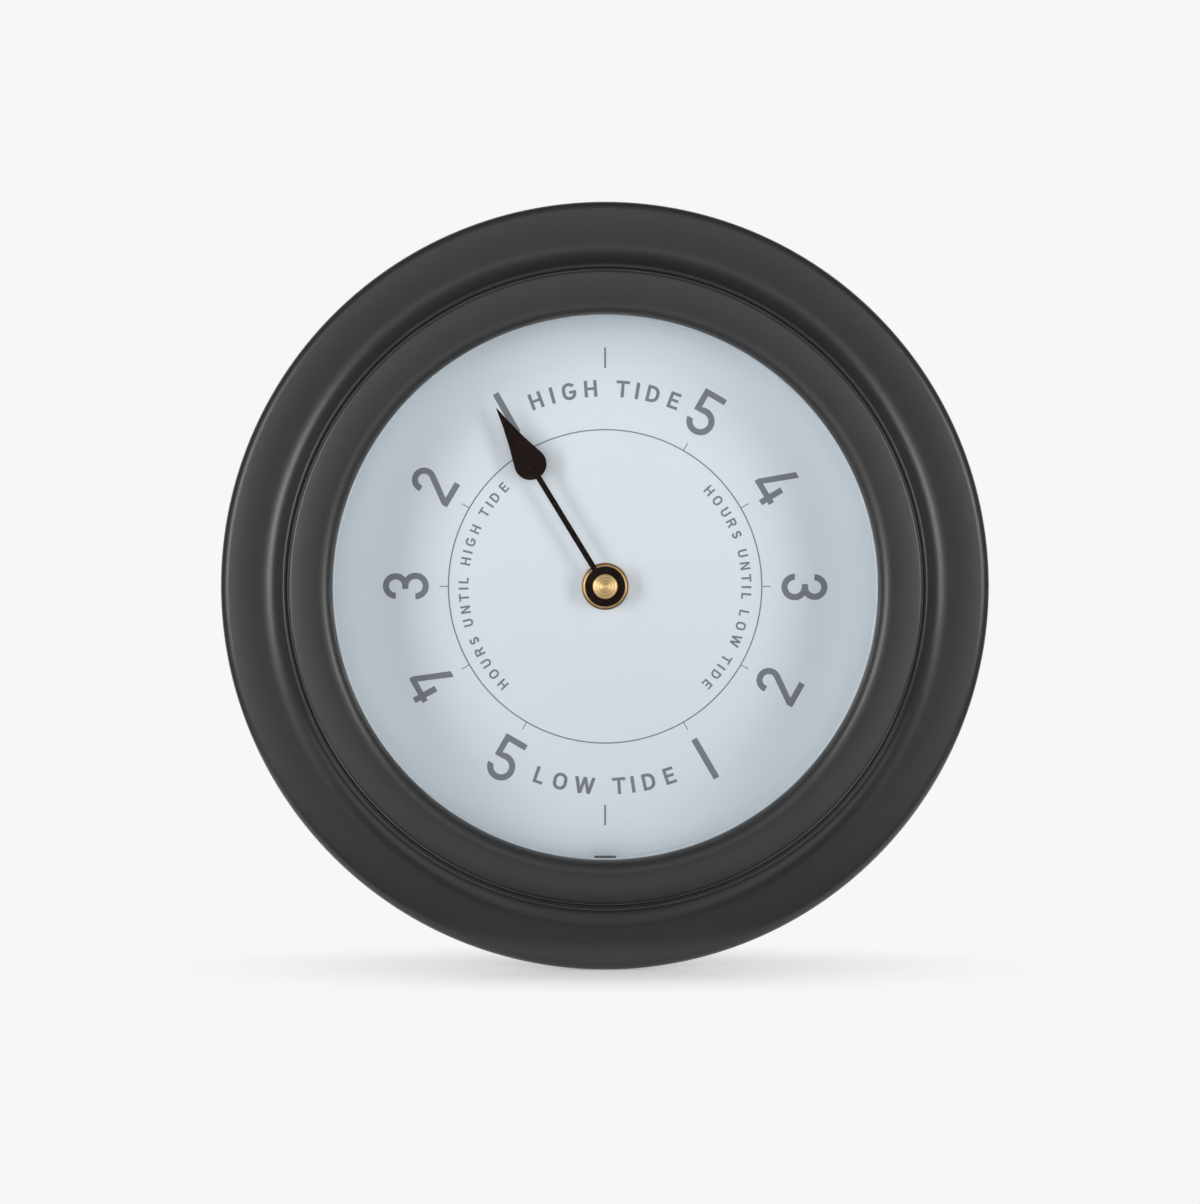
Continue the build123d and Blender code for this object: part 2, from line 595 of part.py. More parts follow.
# Rear half of the movement's case, open at the battery well
with BuildPart() as movement_rear_case:
    slab(module_low, module_high, (MODULE_SPLIT, MODULE_THICK), corner=MODULE_CORNER_R)
    rear_cavity = (MODULE_SPLIT, REAR_WALL_FRONT)
    slab((-INSIDE_HALF, PARTITION_TOP), (INSIDE_HALF, INSIDE_HALF), rear_cavity, Mode.SUBTRACT)
    through = (MODULE_SPLIT, MODULE_THICK)
    slab((-INSIDE_HALF, -INSIDE_HALF), (INSIDE_HALF, WELL_TOP), through, Mode.SUBTRACT)
    disc((0, -MODULE_HALF - 3.5), 8.0, (11.0, MODULE_THICK), Mode.SUBTRACT)
    for side in (-1, 1):
        notch_low = (min(side * 24.6, side * INSIDE_HALF), WELL_TOP)
        notch_high = (max(side * 24.6, side * INSIDE_HALF), PARTITION_TOP)
        slab(notch_low, notch_high, (MODULE_SPLIT, MODULE_SPLIT + NOTCH_DEPTH), Mode.SUBTRACT)
    disc(SETTING_AT, KNOB_RECESS_R + 1.0, (KNOB_RECESS_FLOOR - 1.0, REAR_WALL_FRONT))
    disc(SETTING_AT, KNOB_RECESS_R, (KNOB_RECESS_FLOOR, MODULE_THICK), Mode.SUBTRACT)
    disc(SETTING_AT, STEM_R + RUNNING_GAP, (KNOB_RECESS_FLOOR - 1.0, KNOB_RECESS_FLOOR), Mode.SUBTRACT)
    disc(CENTRE_AT, 1.6, (12.2, REAR_WALL_FRONT))
    disc(CENTRE_AT, 0.55, (12.2, 14.6), Mode.SUBTRACT)
    for at, boss_r, boss_front in (
        (THIRD_AT, 1.2, 12.0),
        (FOURTH_AT, 0.9, 12.0),
        (FIFTH_AT, 1.2, 13.0),
        (ROTOR_AT, 1.2, 13.2),
    ):
        disc(at, boss_r, (boss_front, REAR_WALL_FRONT))
        disc(at, PIVOT_HOLE_R, (boss_front, 14.6), Mode.SUBTRACT)
save(movement_rear_case.part, "movement_rear_case")

# Threaded bushing that clamps the movement to the dial
with BuildPart() as movement_bushing:
    with BuildSketch(SECTION):
        bushing_bore_r = ARBOR_R + RUNNING_GAP
        ring(bushing_bore_r, BUSHING_R, MODULE_FRONT - BUSHING_FLANGE_BACK, BUSHING_FRONT)
        flange_back = MODULE_FRONT - BUSHING_FLANGE_BACK
        ring(bushing_bore_r, BUSHING_FLANGE_R, flange_back, MODULE_FRONT - MODULE_WALL)
    revolve(axis=CLOCK_AXIS)
save(movement_bushing.part, "movement_bushing")

# Rubber washer between the movement and the carrier
with BuildPart() as rubber_washer:
    with BuildSketch(SECTION):
        ring(CARRIER_HOLE_R, RUBBER_R, MODULE_FRONT, CARRIER_BACK)
    revolve(axis=CLOCK_AXIS)
save(rubber_washer.part, "rubber_washer")

# Brass washer on the dial
with BuildPart() as dial_washer:
    with BuildSketch(SECTION):
        ring(CARRIER_HOLE_R, WASHER_R, DIAL_FRONT, DIAL_FRONT + WASHER_THICK)
    revolve(axis=CLOCK_AXIS)
    chamfer(dial_washer.edges().group_by(Axis.Y)[0], length=0.15)
save(dial_washer.part, "dial_washer")

# Round brass nut with two slots
nut_back = DIAL_FRONT + WASHER_THICK
with BuildPart() as bushing_nut:
    with BuildSketch(SECTION):
        ring(BUSHING_R, NUT_R, nut_back, nut_back + NUT_THICK)
    revolve(axis=CLOCK_AXIS)
    chamfer(bushing_nut.edges().group_by(Axis.Y)[0].sort_by(SortBy.RADIUS)[-1], length=0.35)
    with BuildSketch(facing(nut_back + NUT_THICK - NUT_SLOT_DEEP)):
        with PolarLocations(NUT_R, 2, start_angle=NUT_SLOT_ANGLE):
            Rectangle(2.2, NUT_SLOT_WIDTH)
    extrude(amount=NUT_SLOT_DEEP, mode=Mode.SUBTRACT)
save(bushing_nut.part, "bushing_nut")

# Tide wheel and the arbor that carries the hand
with BuildPart() as tide_wheel:
    wheel(TIDE_TEETH, TIDE_MODULE, CENTRE_AT, TIDE_TOOTH, TIDE_WHEEL_LAYER)
    with BuildSketch(SECTION):
        ring(0, ARBOR_R, MODULE_FRONT - TIDE_WHEEL_LAYER[1], ARBOR_STEP)
        ring(0, HUB_SEAT_R, ARBOR_STEP, HUB_SEAT_FRONT)
        ring(0, THREAD_R, HUB_SEAT_FRONT, THREAD_FRONT)
    revolve(axis=CLOCK_AXIS)
    disc(CENTRE_AT, 0.85, (0.7, TIDE_WHEEL_LAYER[1]), Mode.SUBTRACT)
save(tide_wheel.part, "tide_wheel")

# Hand: a teardrop blade on a round boss
HAND_BLADE_PLANE = Plane(
    origin=(0, -BLADE_BACK, -AXIS_DROP),
    x_dir=(-sin(radians(HAND_LEAN)), 0, cos(radians(HAND_LEAN))),
    z_dir=(0, -1, 0),
)
with BuildPart() as tide_hand:
    with BuildSketch(HAND_BLADE_PLANE):
        with BuildLine():
            Line((FLANK_START[0], -FLANK_START[1]), FLANK_START)
            ThreePointArc(FLANK_START, FLANK_MIDDLE, TIP)
            Line(TIP, (TIP[0], -TIP[1]))
            ThreePointArc(
                (TIP[0], -TIP[1]),
                (FLANK_MIDDLE[0], -FLANK_MIDDLE[1]),
                (FLANK_START[0], -FLANK_START[1]),
            )
        make_face()
        with Locations((BULB_AT, 0)):
            Circle(BULB_R)
        with Locations((BULB_AT / 2, 0)):
            Rectangle(BULB_AT, STEM_WIDTH)
    extrude(amount=BLADE_FRONT - BLADE_BACK)
    with BuildSketch(facing(BUSH_FLANGE_FRONT)):
        Circle(HAND_BOSS_R)
    extrude(amount=HAND_BOSS_FRONT - BUSH_FLANGE_FRONT)
    with BuildSketch(facing(BUSH_FLANGE_FRONT)):
        Circle(BUSH_R)
    extrude(amount=HAND_BOSS_FRONT - BUSH_FLANGE_FRONT, mode=Mode.SUBTRACT)
save(tide_hand.part, "tide_hand")

# Brass bush riveted into the hand
with BuildPart() as hand_bush:
    with BuildSketch(SECTION):
        ring(HUB_SEAT_R, BUSH_R, ARBOR_STEP, HUB_SEAT_FRONT)
        ring(HUB_SEAT_R, BUSH_FLANGE_R, ARBOR_STEP, BUSH_FLANGE_FRONT)
    revolve(axis=CLOCK_AXIS)
save(hand_bush.part, "hand_bush")

# Cap nut, turned, with a low dome
CAP_DOME = CAP_FRONT - CAP_EDGE_FRONT
CAP_DOME_R = (CAP_R**2 + CAP_DOME**2) / (2 * CAP_DOME)
CAP_MIDDLE_FRONT = CAP_FRONT - CAP_DOME_R + (CAP_DOME_R**2 - (CAP_R / 2) ** 2) ** 0.5
with BuildPart() as cap_nut:
    with BuildSketch(SECTION):
        with BuildLine():
            Line((0, HUB_SEAT_FRONT), (CAP_R, HUB_SEAT_FRONT))
            Line((CAP_R, HUB_SEAT_FRONT), (CAP_R, CAP_EDGE_FRONT))
            ThreePointArc(
                (CAP_R, CAP_EDGE_FRONT),
                (CAP_R / 2, CAP_MIDDLE_FRONT),
                (0, CAP_FRONT),
            )
            Line((0, CAP_FRONT), (0, HUB_SEAT_FRONT))
        make_face()
    revolve(axis=CLOCK_AXIS)
    with BuildSketch(facing(HUB_SEAT_FRONT)):
        Circle(THREAD_R)
    extrude(amount=THREAD_FRONT - HUB_SEAT_FRONT, mode=Mode.SUBTRACT)
save(cap_nut.part, "cap_nut")

# Train plate between the motion work and the going train
with BuildPart() as train_plate:
    slab((-19.5, -8.8), (10.0, 18.5), TRAIN_PLATE_LAYER, corner=1.5)
    for post in TRAIN_POSTS:
        disc(post, 0.8, TRAIN_PLATE_LAYER, Mode.SUBTRACT)
    disc(CENTRE_AT, 1.05, TRAIN_PLATE_LAYER, Mode.SUBTRACT)
    for at in (THIRD_AT, FOURTH_AT, FIFTH_AT, ROTOR_AT):
        disc(at, PIVOT_HOLE_R, TRAIN_PLATE_LAYER, Mode.SUBTRACT)
save(train_plate.part, "train_plate")

# Reverse wheel and pinion, on a stud of the front case
with BuildPart() as reverse_wheel:
    wheel(REVERSE_TEETH, MOTION_MODULE, REVERSE_AT, REVERSE_TOOTH, REVERSE_WHEEL_LAYER)
    pinion(REVERSE_LEAVES, TIDE_MODULE, REVERSE_AT, REVERSE_TOOTH, REVERSE_PINION_LAYER)
    disc(REVERSE_AT, 1.3, (REVERSE_PINION_LAYER[1], REVERSE_WHEEL_LAYER[0]))
    reverse_hub = (REVERSE_PINION_LAYER[0], REVERSE_WHEEL_LAYER[1])
    disc(REVERSE_AT, 0.85, reverse_hub, Mode.SUBTRACT)
save(reverse_wheel.part, "reverse_wheel")

# Centre arbor: cannon pinion in front, clutch seat and rear pivot behind
with BuildPart() as centre_arbor:
    pinion(CANNON_LEAVES, MOTION_MODULE, CENTRE_AT, CANNON_TOOTH, CANNON_LAYER)
    for radius, front, back in (
        (0.8, 0.9, CANNON_LAYER[0]),
        (1.0, CANNON_LAYER[1], 7.1),
        (1.6, 7.1, 7.5),
        (1.0, 7.5, 12.1),
        (0.5, 12.1, 14.2),
    ):
        disc(CENTRE_AT, radius, (front, back))
save(centre_arbor.part, "centre_arbor")

# Centre wheel, which slips on its arbor when the hand is set
with BuildPart() as centre_wheel:
    wheel(CENTRE_TEETH, CENTRE_MODULE, CENTRE_AT, CENTRE_TOOTH, CENTRE_WHEEL_LAYER)
    disc(CENTRE_AT, 1.05, CENTRE_WHEEL_LAYER, Mode.SUBTRACT)
save(centre_wheel.part, "centre_wheel")

# Clutch spring, a coned washer held by a collar
clutch_wide = MODULE_FRONT - CENTRE_WHEEL_LAYER[1] - 0.03
clutch_narrow = MODULE_FRONT - 8.7
with BuildPart() as clutch_spring:
    with BuildSketch(SECTION):
        with BuildLine():
            Polyline(
                (2.6, clutch_wide),
                (2.6, clutch_wide - 0.15),
                (1.6, clutch_narrow),
                (1.6, clutch_narrow - 0.4),
                (1.0, clutch_narrow - 0.4),
                (1.0, clutch_narrow + 0.15),
                (1.6, clutch_narrow + 0.15),
                close=True,
            )
        make_face()
    revolve(axis=CLOCK_AXIS)
save(clutch_spring.part, "clutch_spring")


def train_arbor(at, radius, shoulder_end, pivot_end):
    """Arbor with a thin pivot at each end."""
    disc(at, PIVOT_R, (PIVOT_START, SHOULDER_START))
    disc(at, radius, (SHOULDER_START, shoulder_end))
    disc(at, PIVOT_R, (shoulder_end, pivot_end))


with BuildPart() as third_wheel:
    pinion(THIRD_LEAVES, CENTRE_MODULE, THIRD_AT, THIRD_LEAF, THIRD_PINION_LAYER)
    wheel(THIRD_TEETH, THIRD_MODULE, THIRD_AT, THIRD_TOOTH, THIRD_WHEEL_LAYER)
    train_arbor(THIRD_AT, 0.5, 11.9, 13.4)
save(third_wheel.part, "third_wheel")

with BuildPart() as fourth_wheel:
    pinion(FOURTH_LEAVES, THIRD_MODULE, FOURTH_AT, FOURTH_LEAF, FOURTH_PINION_LAYER)
    wheel(FOURTH_TEETH, FOURTH_MODULE, FOURTH_AT, FOURTH_TOOTH, FOURTH_WHEEL_LAYER)
    train_arbor(FOURTH_AT, 0.4, 11.9, 13.4)
save(fourth_wheel.part, "fourth_wheel")

with BuildPart() as fifth_wheel:
    pinion(FIFTH_LEAVES, FOURTH_MODULE, FIFTH_AT, FIFTH_LEAF, FIFTH_PINION_LAYER)
    wheel(FIFTH_TEETH, FIFTH_MODULE, FIFTH_AT, FIFTH_TOOTH, FIFTH_WHEEL_LAYER)
    train_arbor(FIFTH_AT, 0.45, 12.9, 14.2)
save(fifth_wheel.part, "fifth_wheel")

# Rotor of the stepping motor: a moulded pinion in a ring magnet
MAGNET_LAYER = (7.15, 8.35)
with BuildPart() as rotor_pinion:
    pinion(ROTOR_LEAVES, FIFTH_MODULE, ROTOR_AT, ROTOR_LEAF, ROTOR_PINION_LAYER)
    disc(ROTOR_AT, 0.7, MAGNET_LAYER)
    disc(ROTOR_AT, 1.3, (MAGNET_LAYER[1], MAGNET_LAYER[1] + 0.4))
    train_arbor(ROTOR_AT, 0.4, 13.1, 14.3)
save(rotor_pinion.part, "rotor_pinion")

with BuildPart() as rotor_magnet:
    disc(ROTOR_AT, 2.0, MAGNET_LAYER)
    disc(ROTOR_AT, 0.7, MAGNET_LAYER, Mode.SUBTRACT)
save(rotor_magnet.part, "rotor_magnet")

# Stator, two iron arms that meet in thin necks round the rotor
STATOR_RING_R = 3.3
ARM_TOP = 24.8
ARM_INNER = 9.7
ARM_SHELF = 19.2
with BuildPart() as stator:
    with BuildSketch(inside(STATOR_LAYER[1])):
        with Locations(ROTOR_AT):
            Circle(STATOR_RING_R)
        for side in (-1, 1):
            with BuildLine():
                Polyline(
                    (side * CORE_HALF, ARM_TOP),
                    (side * ARM_INNER, ARM_TOP),
                    (side * ARM_INNER, ARM_SHELF),
                    (ROTOR_AT[0], ROTOR_AT[1] + STATOR_RING_R),
                    (ROTOR_AT[0], ROTOR_AT[1] - STATOR_RING_R),
                    (side * 8.5, 13.6),
                    (side * CORE_HALF, 17.5),
                    close=True,
                )
            make_face()
        with Locations(ROTOR_AT):
            Circle(2.4, mode=Mode.SUBTRACT)
        with Locations(FIFTH_AT):
            Circle(0.9, mode=Mode.SUBTRACT)
        with Locations(*COIL_POSTS):
            Circle(FOOT_SCREW_R, mode=Mode.SUBTRACT)
    extrude(amount=STATOR_LAYER[1] - STATOR_LAYER[0])
save(stator.part, "stator")

# Coil core, lying on the stator's feet
core_half_width = CORE_WIDTH / 2
with BuildPart() as coil_core:
    slab((-CORE_HALF, COIL_AT - core_half_width), (CORE_HALF, COIL_AT + core_half_width), CORE_LAYER)
    for post in COIL_POSTS:
        disc(post, FOOT_SCREW_R, CORE_LAYER, Mode.SUBTRACT)
save(coil_core.part, "coil_core")

with BuildPart() as coil_screws:
    for post in COIL_POSTS:
        disc(post, 1.4, (CORE_LAYER[1], CORE_LAYER[1] + 0.8))
        disc(post, FOOT_SCREW_R, (3.2, CORE_LAYER[1]))
save(coil_screws.part, "coil_screws")

# Bobbin and winding, along X
COIL_AXIS_PLANE = Plane(
    origin=(0, COIL_LAYER - MODULE_FRONT, COIL_AT - AXIS_DROP),
    x_dir=(0, 1, 0),
    z_dir=(1, 0, 0),
)
with BuildPart() as coil_bobbin:
    with BuildSketch(COIL_AXIS_PLANE):
        Circle(BOBBIN_R)
    extrude(amount=COIL_HALF, both=True)
    for side in (-1, 1):
        with BuildSketch(COIL_AXIS_PLANE.offset(side * (COIL_HALF + BOBBIN_FLANGE / 2))):
            Circle(BOBBIN_FLANGE_R)
        extrude(amount=BOBBIN_FLANGE / 2, both=True)
    with BuildSketch(COIL_AXIS_PLANE):
        Rectangle(1.1, CORE_WIDTH + 0.1)
    extrude(amount=COIL_HALF + BOBBIN_FLANGE, both=True, mode=Mode.SUBTRACT)
save(coil_bobbin.part, "coil_bobbin")

with BuildPart() as coil_winding:
    with BuildSketch(COIL_AXIS_PLANE):
        Circle(COIL_R)
        Circle(BOBBIN_R, mode=Mode.SUBTRACT)
    extrude(amount=COIL_HALF, both=True)
save(coil_winding.part, "coil_winding")

# Circuit board with its chip and crystal
with BuildPart() as circuit_board:
    slab((15.0, -8.0), (26.2, 25.0), BOARD_LAYER, corner=1.0)
    for post in BOARD_POSTS:
        disc(post, 0.7, BOARD_LAYER, Mode.SUBTRACT)
save(circuit_board.part, "circuit_board")

with BuildPart() as timing_chip:
    disc((20.0, 13.0), 3.0, (BOARD_LAYER[1], BOARD_LAYER[1] + 1.2))
    fillet(timing_chip.edges().group_by(Axis.Y)[-1], radius=0.9)
save(timing_chip.part, "timing_chip")

CRYSTAL_PLANE = Plane(
    origin=(20.0, BOARD_LAYER[1] + 1.0 - MODULE_FRONT, 1.0 - AXIS_DROP),
    x_dir=(1, 0, 0),
    z_dir=(0, 0, 1),
)
with BuildPart() as quartz_crystal:
    with BuildSketch(CRYSTAL_PLANE):
        Circle(1.0)
    extrude(amount=6.2)
    fillet(quartz_crystal.edges().group_by(Axis.Z)[-1], radius=0.4)
save(quartz_crystal.part, "quartz_crystal")

# Battery contacts: a plate at the positive end, a bowed leaf at the negative end
battery_end = BATTERY_HALF + BATTERY_NUB / 2
BATTERY_PLANE = Plane(
    origin=(-battery_end, BATTERY_LAYER - MODULE_FRONT, BATTERY_AT - AXIS_DROP),
    x_dir=(0, 1, 0),
    z_dir=(1, 0, 0),
)
tab_layer = (BOARD_LAYER[1], BOARD_LAYER[1] + CONTACT_SHEET)
plate_inner = INSIDE_HALF - CONTACT_SHEET
with BuildPart() as positive_contact:
    slab((plate_inner, -24.0), (INSIDE_HALF, -12.0), (3.0, 13.0))
    slab((plate_inner, -12.0), (INSIDE_HALF, -5.5), (6.6, tab_layer[1]))
    slab((24.6, -7.5), (plate_inner, -5.5), tab_layer)
    with BuildSketch(BATTERY_PLANE.offset(plate_inner + battery_end)):
        Circle(2.0)
    extrude(amount=battery_end + CONTACT_GAP - plate_inner)
save(positive_contact.part, "positive_contact")

with BuildPart() as negative_contact:
    slab((-INSIDE_HALF, -26.0), (-plate_inner, -12.0), (3.0, 13.0))
    slab((-INSIDE_HALF, -12.0), (-plate_inner, -9.9), (6.6, tab_layer[1]))
    slab((-plate_inner, -10.3), (17.0, -9.9), (7.6, tab_layer[1]))
    slab((15.6, -9.9), (17.0, -7.0), tab_layer)
    with BuildSketch(inside(10.5)):
        with BuildLine():
            ThreePointArc(
                (-plate_inner, -25.0),
                (-battery_end - CONTACT_GAP, BATTERY_AT),
                (-plate_inner, -13.2),
            )
            offset(amount=0.3, side=Side.LEFT)
        make_face()
    extrude(amount=4.0)
save(negative_contact.part, "negative_contact")

# Battery, lying across the well with its nub to the right
with BuildPart() as battery:
    with BuildSketch(BATTERY_PLANE):
        Circle(BATTERY_R)
    extrude(amount=2 * BATTERY_HALF)
    fillet(battery.edges().filter_by(GeomType.CIRCLE), radius=0.6)
    with BuildSketch(BATTERY_PLANE.offset(2 * BATTERY_HALF)):
        Circle(BATTERY_NUB_R)
    extrude(amount=BATTERY_NUB)
save(battery.part, "battery")

# Setting knob, its stem and the pinion that turns the reverse wheel
with BuildPart() as setting_knob:
    pinion(SETTING_LEAVES, MOTION_MODULE, SETTING_AT, SETTING_TOOTH, CANNON_LAYER)
    disc(SETTING_AT, 0.8, (1.6, CANNON_LAYER[0]))
    disc(SETTING_AT, STEM_R, (CANNON_LAYER[1], KNOB_LAYER[0]))
    disc(SETTING_AT, KNOB_R, KNOB_LAYER)
    with BuildSketch(inside(KNOB_LAYER[1])) as flutes:
        with Locations(SETTING_AT):
            with PolarLocations(KNOB_R + 0.25, KNOB_FLUTES):
                Circle(0.55)
    extrude(amount=KNOB_LAYER[1] - KNOB_LAYER[0], mode=Mode.SUBTRACT)
save(setting_knob.part, "setting_knob")
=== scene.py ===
"""A round wall tide clock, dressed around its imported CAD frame.

The spun steel case, the bezel, the window, the printed dial and the hub are
turned or cut here at full fineness; what only shows from behind is a softened
copy of its CAD solid; what is shut inside keeps its solid and gets a finish.
"""

import logging
import math
from dataclasses import dataclass, field
from enum import Enum

import bpy
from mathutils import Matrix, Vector


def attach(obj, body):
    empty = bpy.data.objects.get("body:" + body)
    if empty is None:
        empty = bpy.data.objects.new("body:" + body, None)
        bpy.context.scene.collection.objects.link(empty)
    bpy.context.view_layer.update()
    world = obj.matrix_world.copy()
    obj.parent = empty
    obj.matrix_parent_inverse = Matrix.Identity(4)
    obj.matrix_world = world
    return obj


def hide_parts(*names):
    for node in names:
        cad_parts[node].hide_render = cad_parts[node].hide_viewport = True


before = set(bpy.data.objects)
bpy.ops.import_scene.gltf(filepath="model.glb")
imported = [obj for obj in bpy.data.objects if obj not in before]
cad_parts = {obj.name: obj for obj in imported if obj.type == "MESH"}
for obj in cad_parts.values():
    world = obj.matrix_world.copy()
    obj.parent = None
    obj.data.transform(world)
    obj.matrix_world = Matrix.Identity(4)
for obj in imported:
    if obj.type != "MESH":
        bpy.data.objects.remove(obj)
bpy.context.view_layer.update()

log = logging.getLogger("tide_clock")

MM = 0.001
# The height of the clock's axis in the frame.
AXIS_Z = -0.100
FULL_TURN = 2.0 * math.pi
# Degrees: from one hour to the next, the most that one straight of an arc turns, and the
# bend up to which an edge is shaded smooth.
HOUR = 30.0
CHORD = 7.5
SMOOTH = 30.0
# Points closer than this, in metres, are one point.
WELD = 1e-6
# How many faces a broken edge has.
EDGE_FACES = 2
# The body that everything fixed to the case moves with.
FIXED = "clock_case"
# Patches of roughness are this many times as wide as patches of colour.
ROUGH_PATCH = 0.4
# Radians that a wave texture runs through in one unit of its scaled place.
WAVE_RATE = 20.0
WHITE = "#FFFFFF"

Colour = tuple[float, float, float, float]
Point = tuple[float, float]
Pair = tuple[float, float]
Triple = tuple[float, float, float]


@dataclass(frozen=True)
class Arc:
    """An arc drawn from where the pen stands, about a centre."""

    cx: float
    cy: float
    sweep: float


Step = Point | Arc
Loop = tuple[Step, ...]
Letter = tuple[float, tuple[Loop, ...]]
Piece = bpy.types.Object
Tree = bpy.types.NodeTree
Node = bpy.types.Node
Socket = bpy.types.NodeSocket


class Sheet(Enum):
    """The flat sheets that outlines are drawn on: right, up and the axis a pen turns about."""

    SECTION = (Vector((1, 0, 0)), Vector((0, -1, 0)), Vector((0, 0, 1)))
    FRONT = (Vector((1, 0, 0)), Vector((0, 0, 1)), Vector((0, 1, 0)))
    BARREL = (Vector((0, 0, 1)), Vector((1, 0, 0)), Vector((0, -1, 0)))


class Tops(Enum):
    """Which way the tops of the letters on a ring of print point."""

    OUTWARD = 0.0
    INWARD = math.pi


class Operation(Enum):
    """What a tool does to a piece: it is cut out of it or welded on."""

    CUT = "DIFFERENCE"
    WELD = "UNION"


# The tools of the bench.


def linear(code: str) -> Colour:
    """Turns an sRGB hex colour into Blender's linear one, by the standard's own curve.

    Args:
        code: The colour as "#RRGGBB".

    Returns:
        Red, green, blue and a full alpha.
    """
    parts = [int(code[i : i + 2], 16) / 255.0 for i in (1, 3, 5)]
    r, g, b = (p / 12.92 if p <= 0.04045 else ((p + 0.055) / 1.055) ** 2.4 for p in parts)
    return (r, g, b, 1.0)


def bare_tree(owner: bpy.types.Material | bpy.types.World) -> Tree:
    """Gives a new material or world a node tree with nothing in it."""
    owner.use_nodes = True
    owner.node_tree.nodes.clear()
    return owner.node_tree


def add_node(
    tree: Tree, kind: str, settings: dict | None = None, links: dict | None = None
) -> Node:
    """Adds a node with its settings and its links.

    Args:
        tree: The material's or the world's node tree.
        kind: The node's type, without its ShaderNode prefix.
        settings: Values by input name or number, or by property name.
        links: Output sockets by the input they feed.

    Returns:
        The new node.
    """
    node = tree.nodes.new("ShaderNode" + kind)
    for key, value in (settings or {}).items():
        if isinstance(key, int) or key in node.inputs:
            node.inputs[key].default_value = value
        else:
            setattr(node, key, value)
    for key, source in (links or {}).items():
        tree.links.new(source, node.inputs[key])
    return node


def pick(*pieces: Piece) -> None:
    """Leaves edit mode and selects just these pieces, the first one active."""
    if bpy.context.object and bpy.context.object.mode != "OBJECT":
        bpy.ops.object.mode_set(mode="OBJECT")
    bpy.ops.object.select_all(action="DESELECT")
    for piece in pieces:
        piece.select_set(True)
    bpy.context.view_layer.objects.active = pieces[0] if pieces else None


def settle(piece: Piece, name: str, smooth: float = SMOOTH) -> Piece:
    """Puts a piece's place into its mesh, smooths it and names it.

    Args:
        piece: The piece, in either mode.
        name: Its name in the part.
        smooth: Edges flatter than this many degrees are shaded smooth.

    Returns:
        The same piece.
    """
    pick(piece)
    bpy.ops.object.transform_apply()
    bpy.ops.object.shade_smooth_by_angle(angle=math.radians(smooth))
    piece.name = piece.data.name = name
    return piece


def apply_modifier(piece: Piece, kind: str, **settings: object) -> None:
    """Adds a modifier with its settings and applies it at once."""
    pick(piece)
    bpy.ops.object.modifier_add(type=kind)
    modifier = piece.modifiers[-1]
    for key, value in settings.items():
        setattr(modifier, key, value)
    bpy.ops.object.modifier_apply(modifier=modifier.name)


def carve(piece: Piece, tool: Piece, operation: Operation = Operation.CUT) -> None:
    """Cuts a tool out of a piece, or welds it on, and throws the tool away."""
    apply_modifier(piece, "BOOLEAN", object=tool, operation=operation.value, solver="EXACT")
    bpy.data.objects.remove(tool)


def duplicate(piece: Piece) -> Piece:
    """Copies a piece with a mesh of its own."""
    pick(piece)
    bpy.ops.object.duplicate(linked=False)
    return bpy.context.object


def join(pieces: list[Piece]) -> Piece:
    """Makes one piece of several."""
    pick(*pieces)
    bpy.ops.object.transform_apply()
    bpy.ops.object.join()
    return bpy.context.object


def block(size: Vector, centre: Vector, turn: float = 0.0) -> Piece:
    """A squared cutter for a slot or notch, turned on the dial by an angle in radians."""
    pick()
    bpy.ops.mesh.primitive_cube_add(size=1.0, location=centre, rotation=(0.0, turn, 0.0))
    bpy.context.object.scale = size
    bpy.ops.object.transform_apply()
    return bpy.context.object


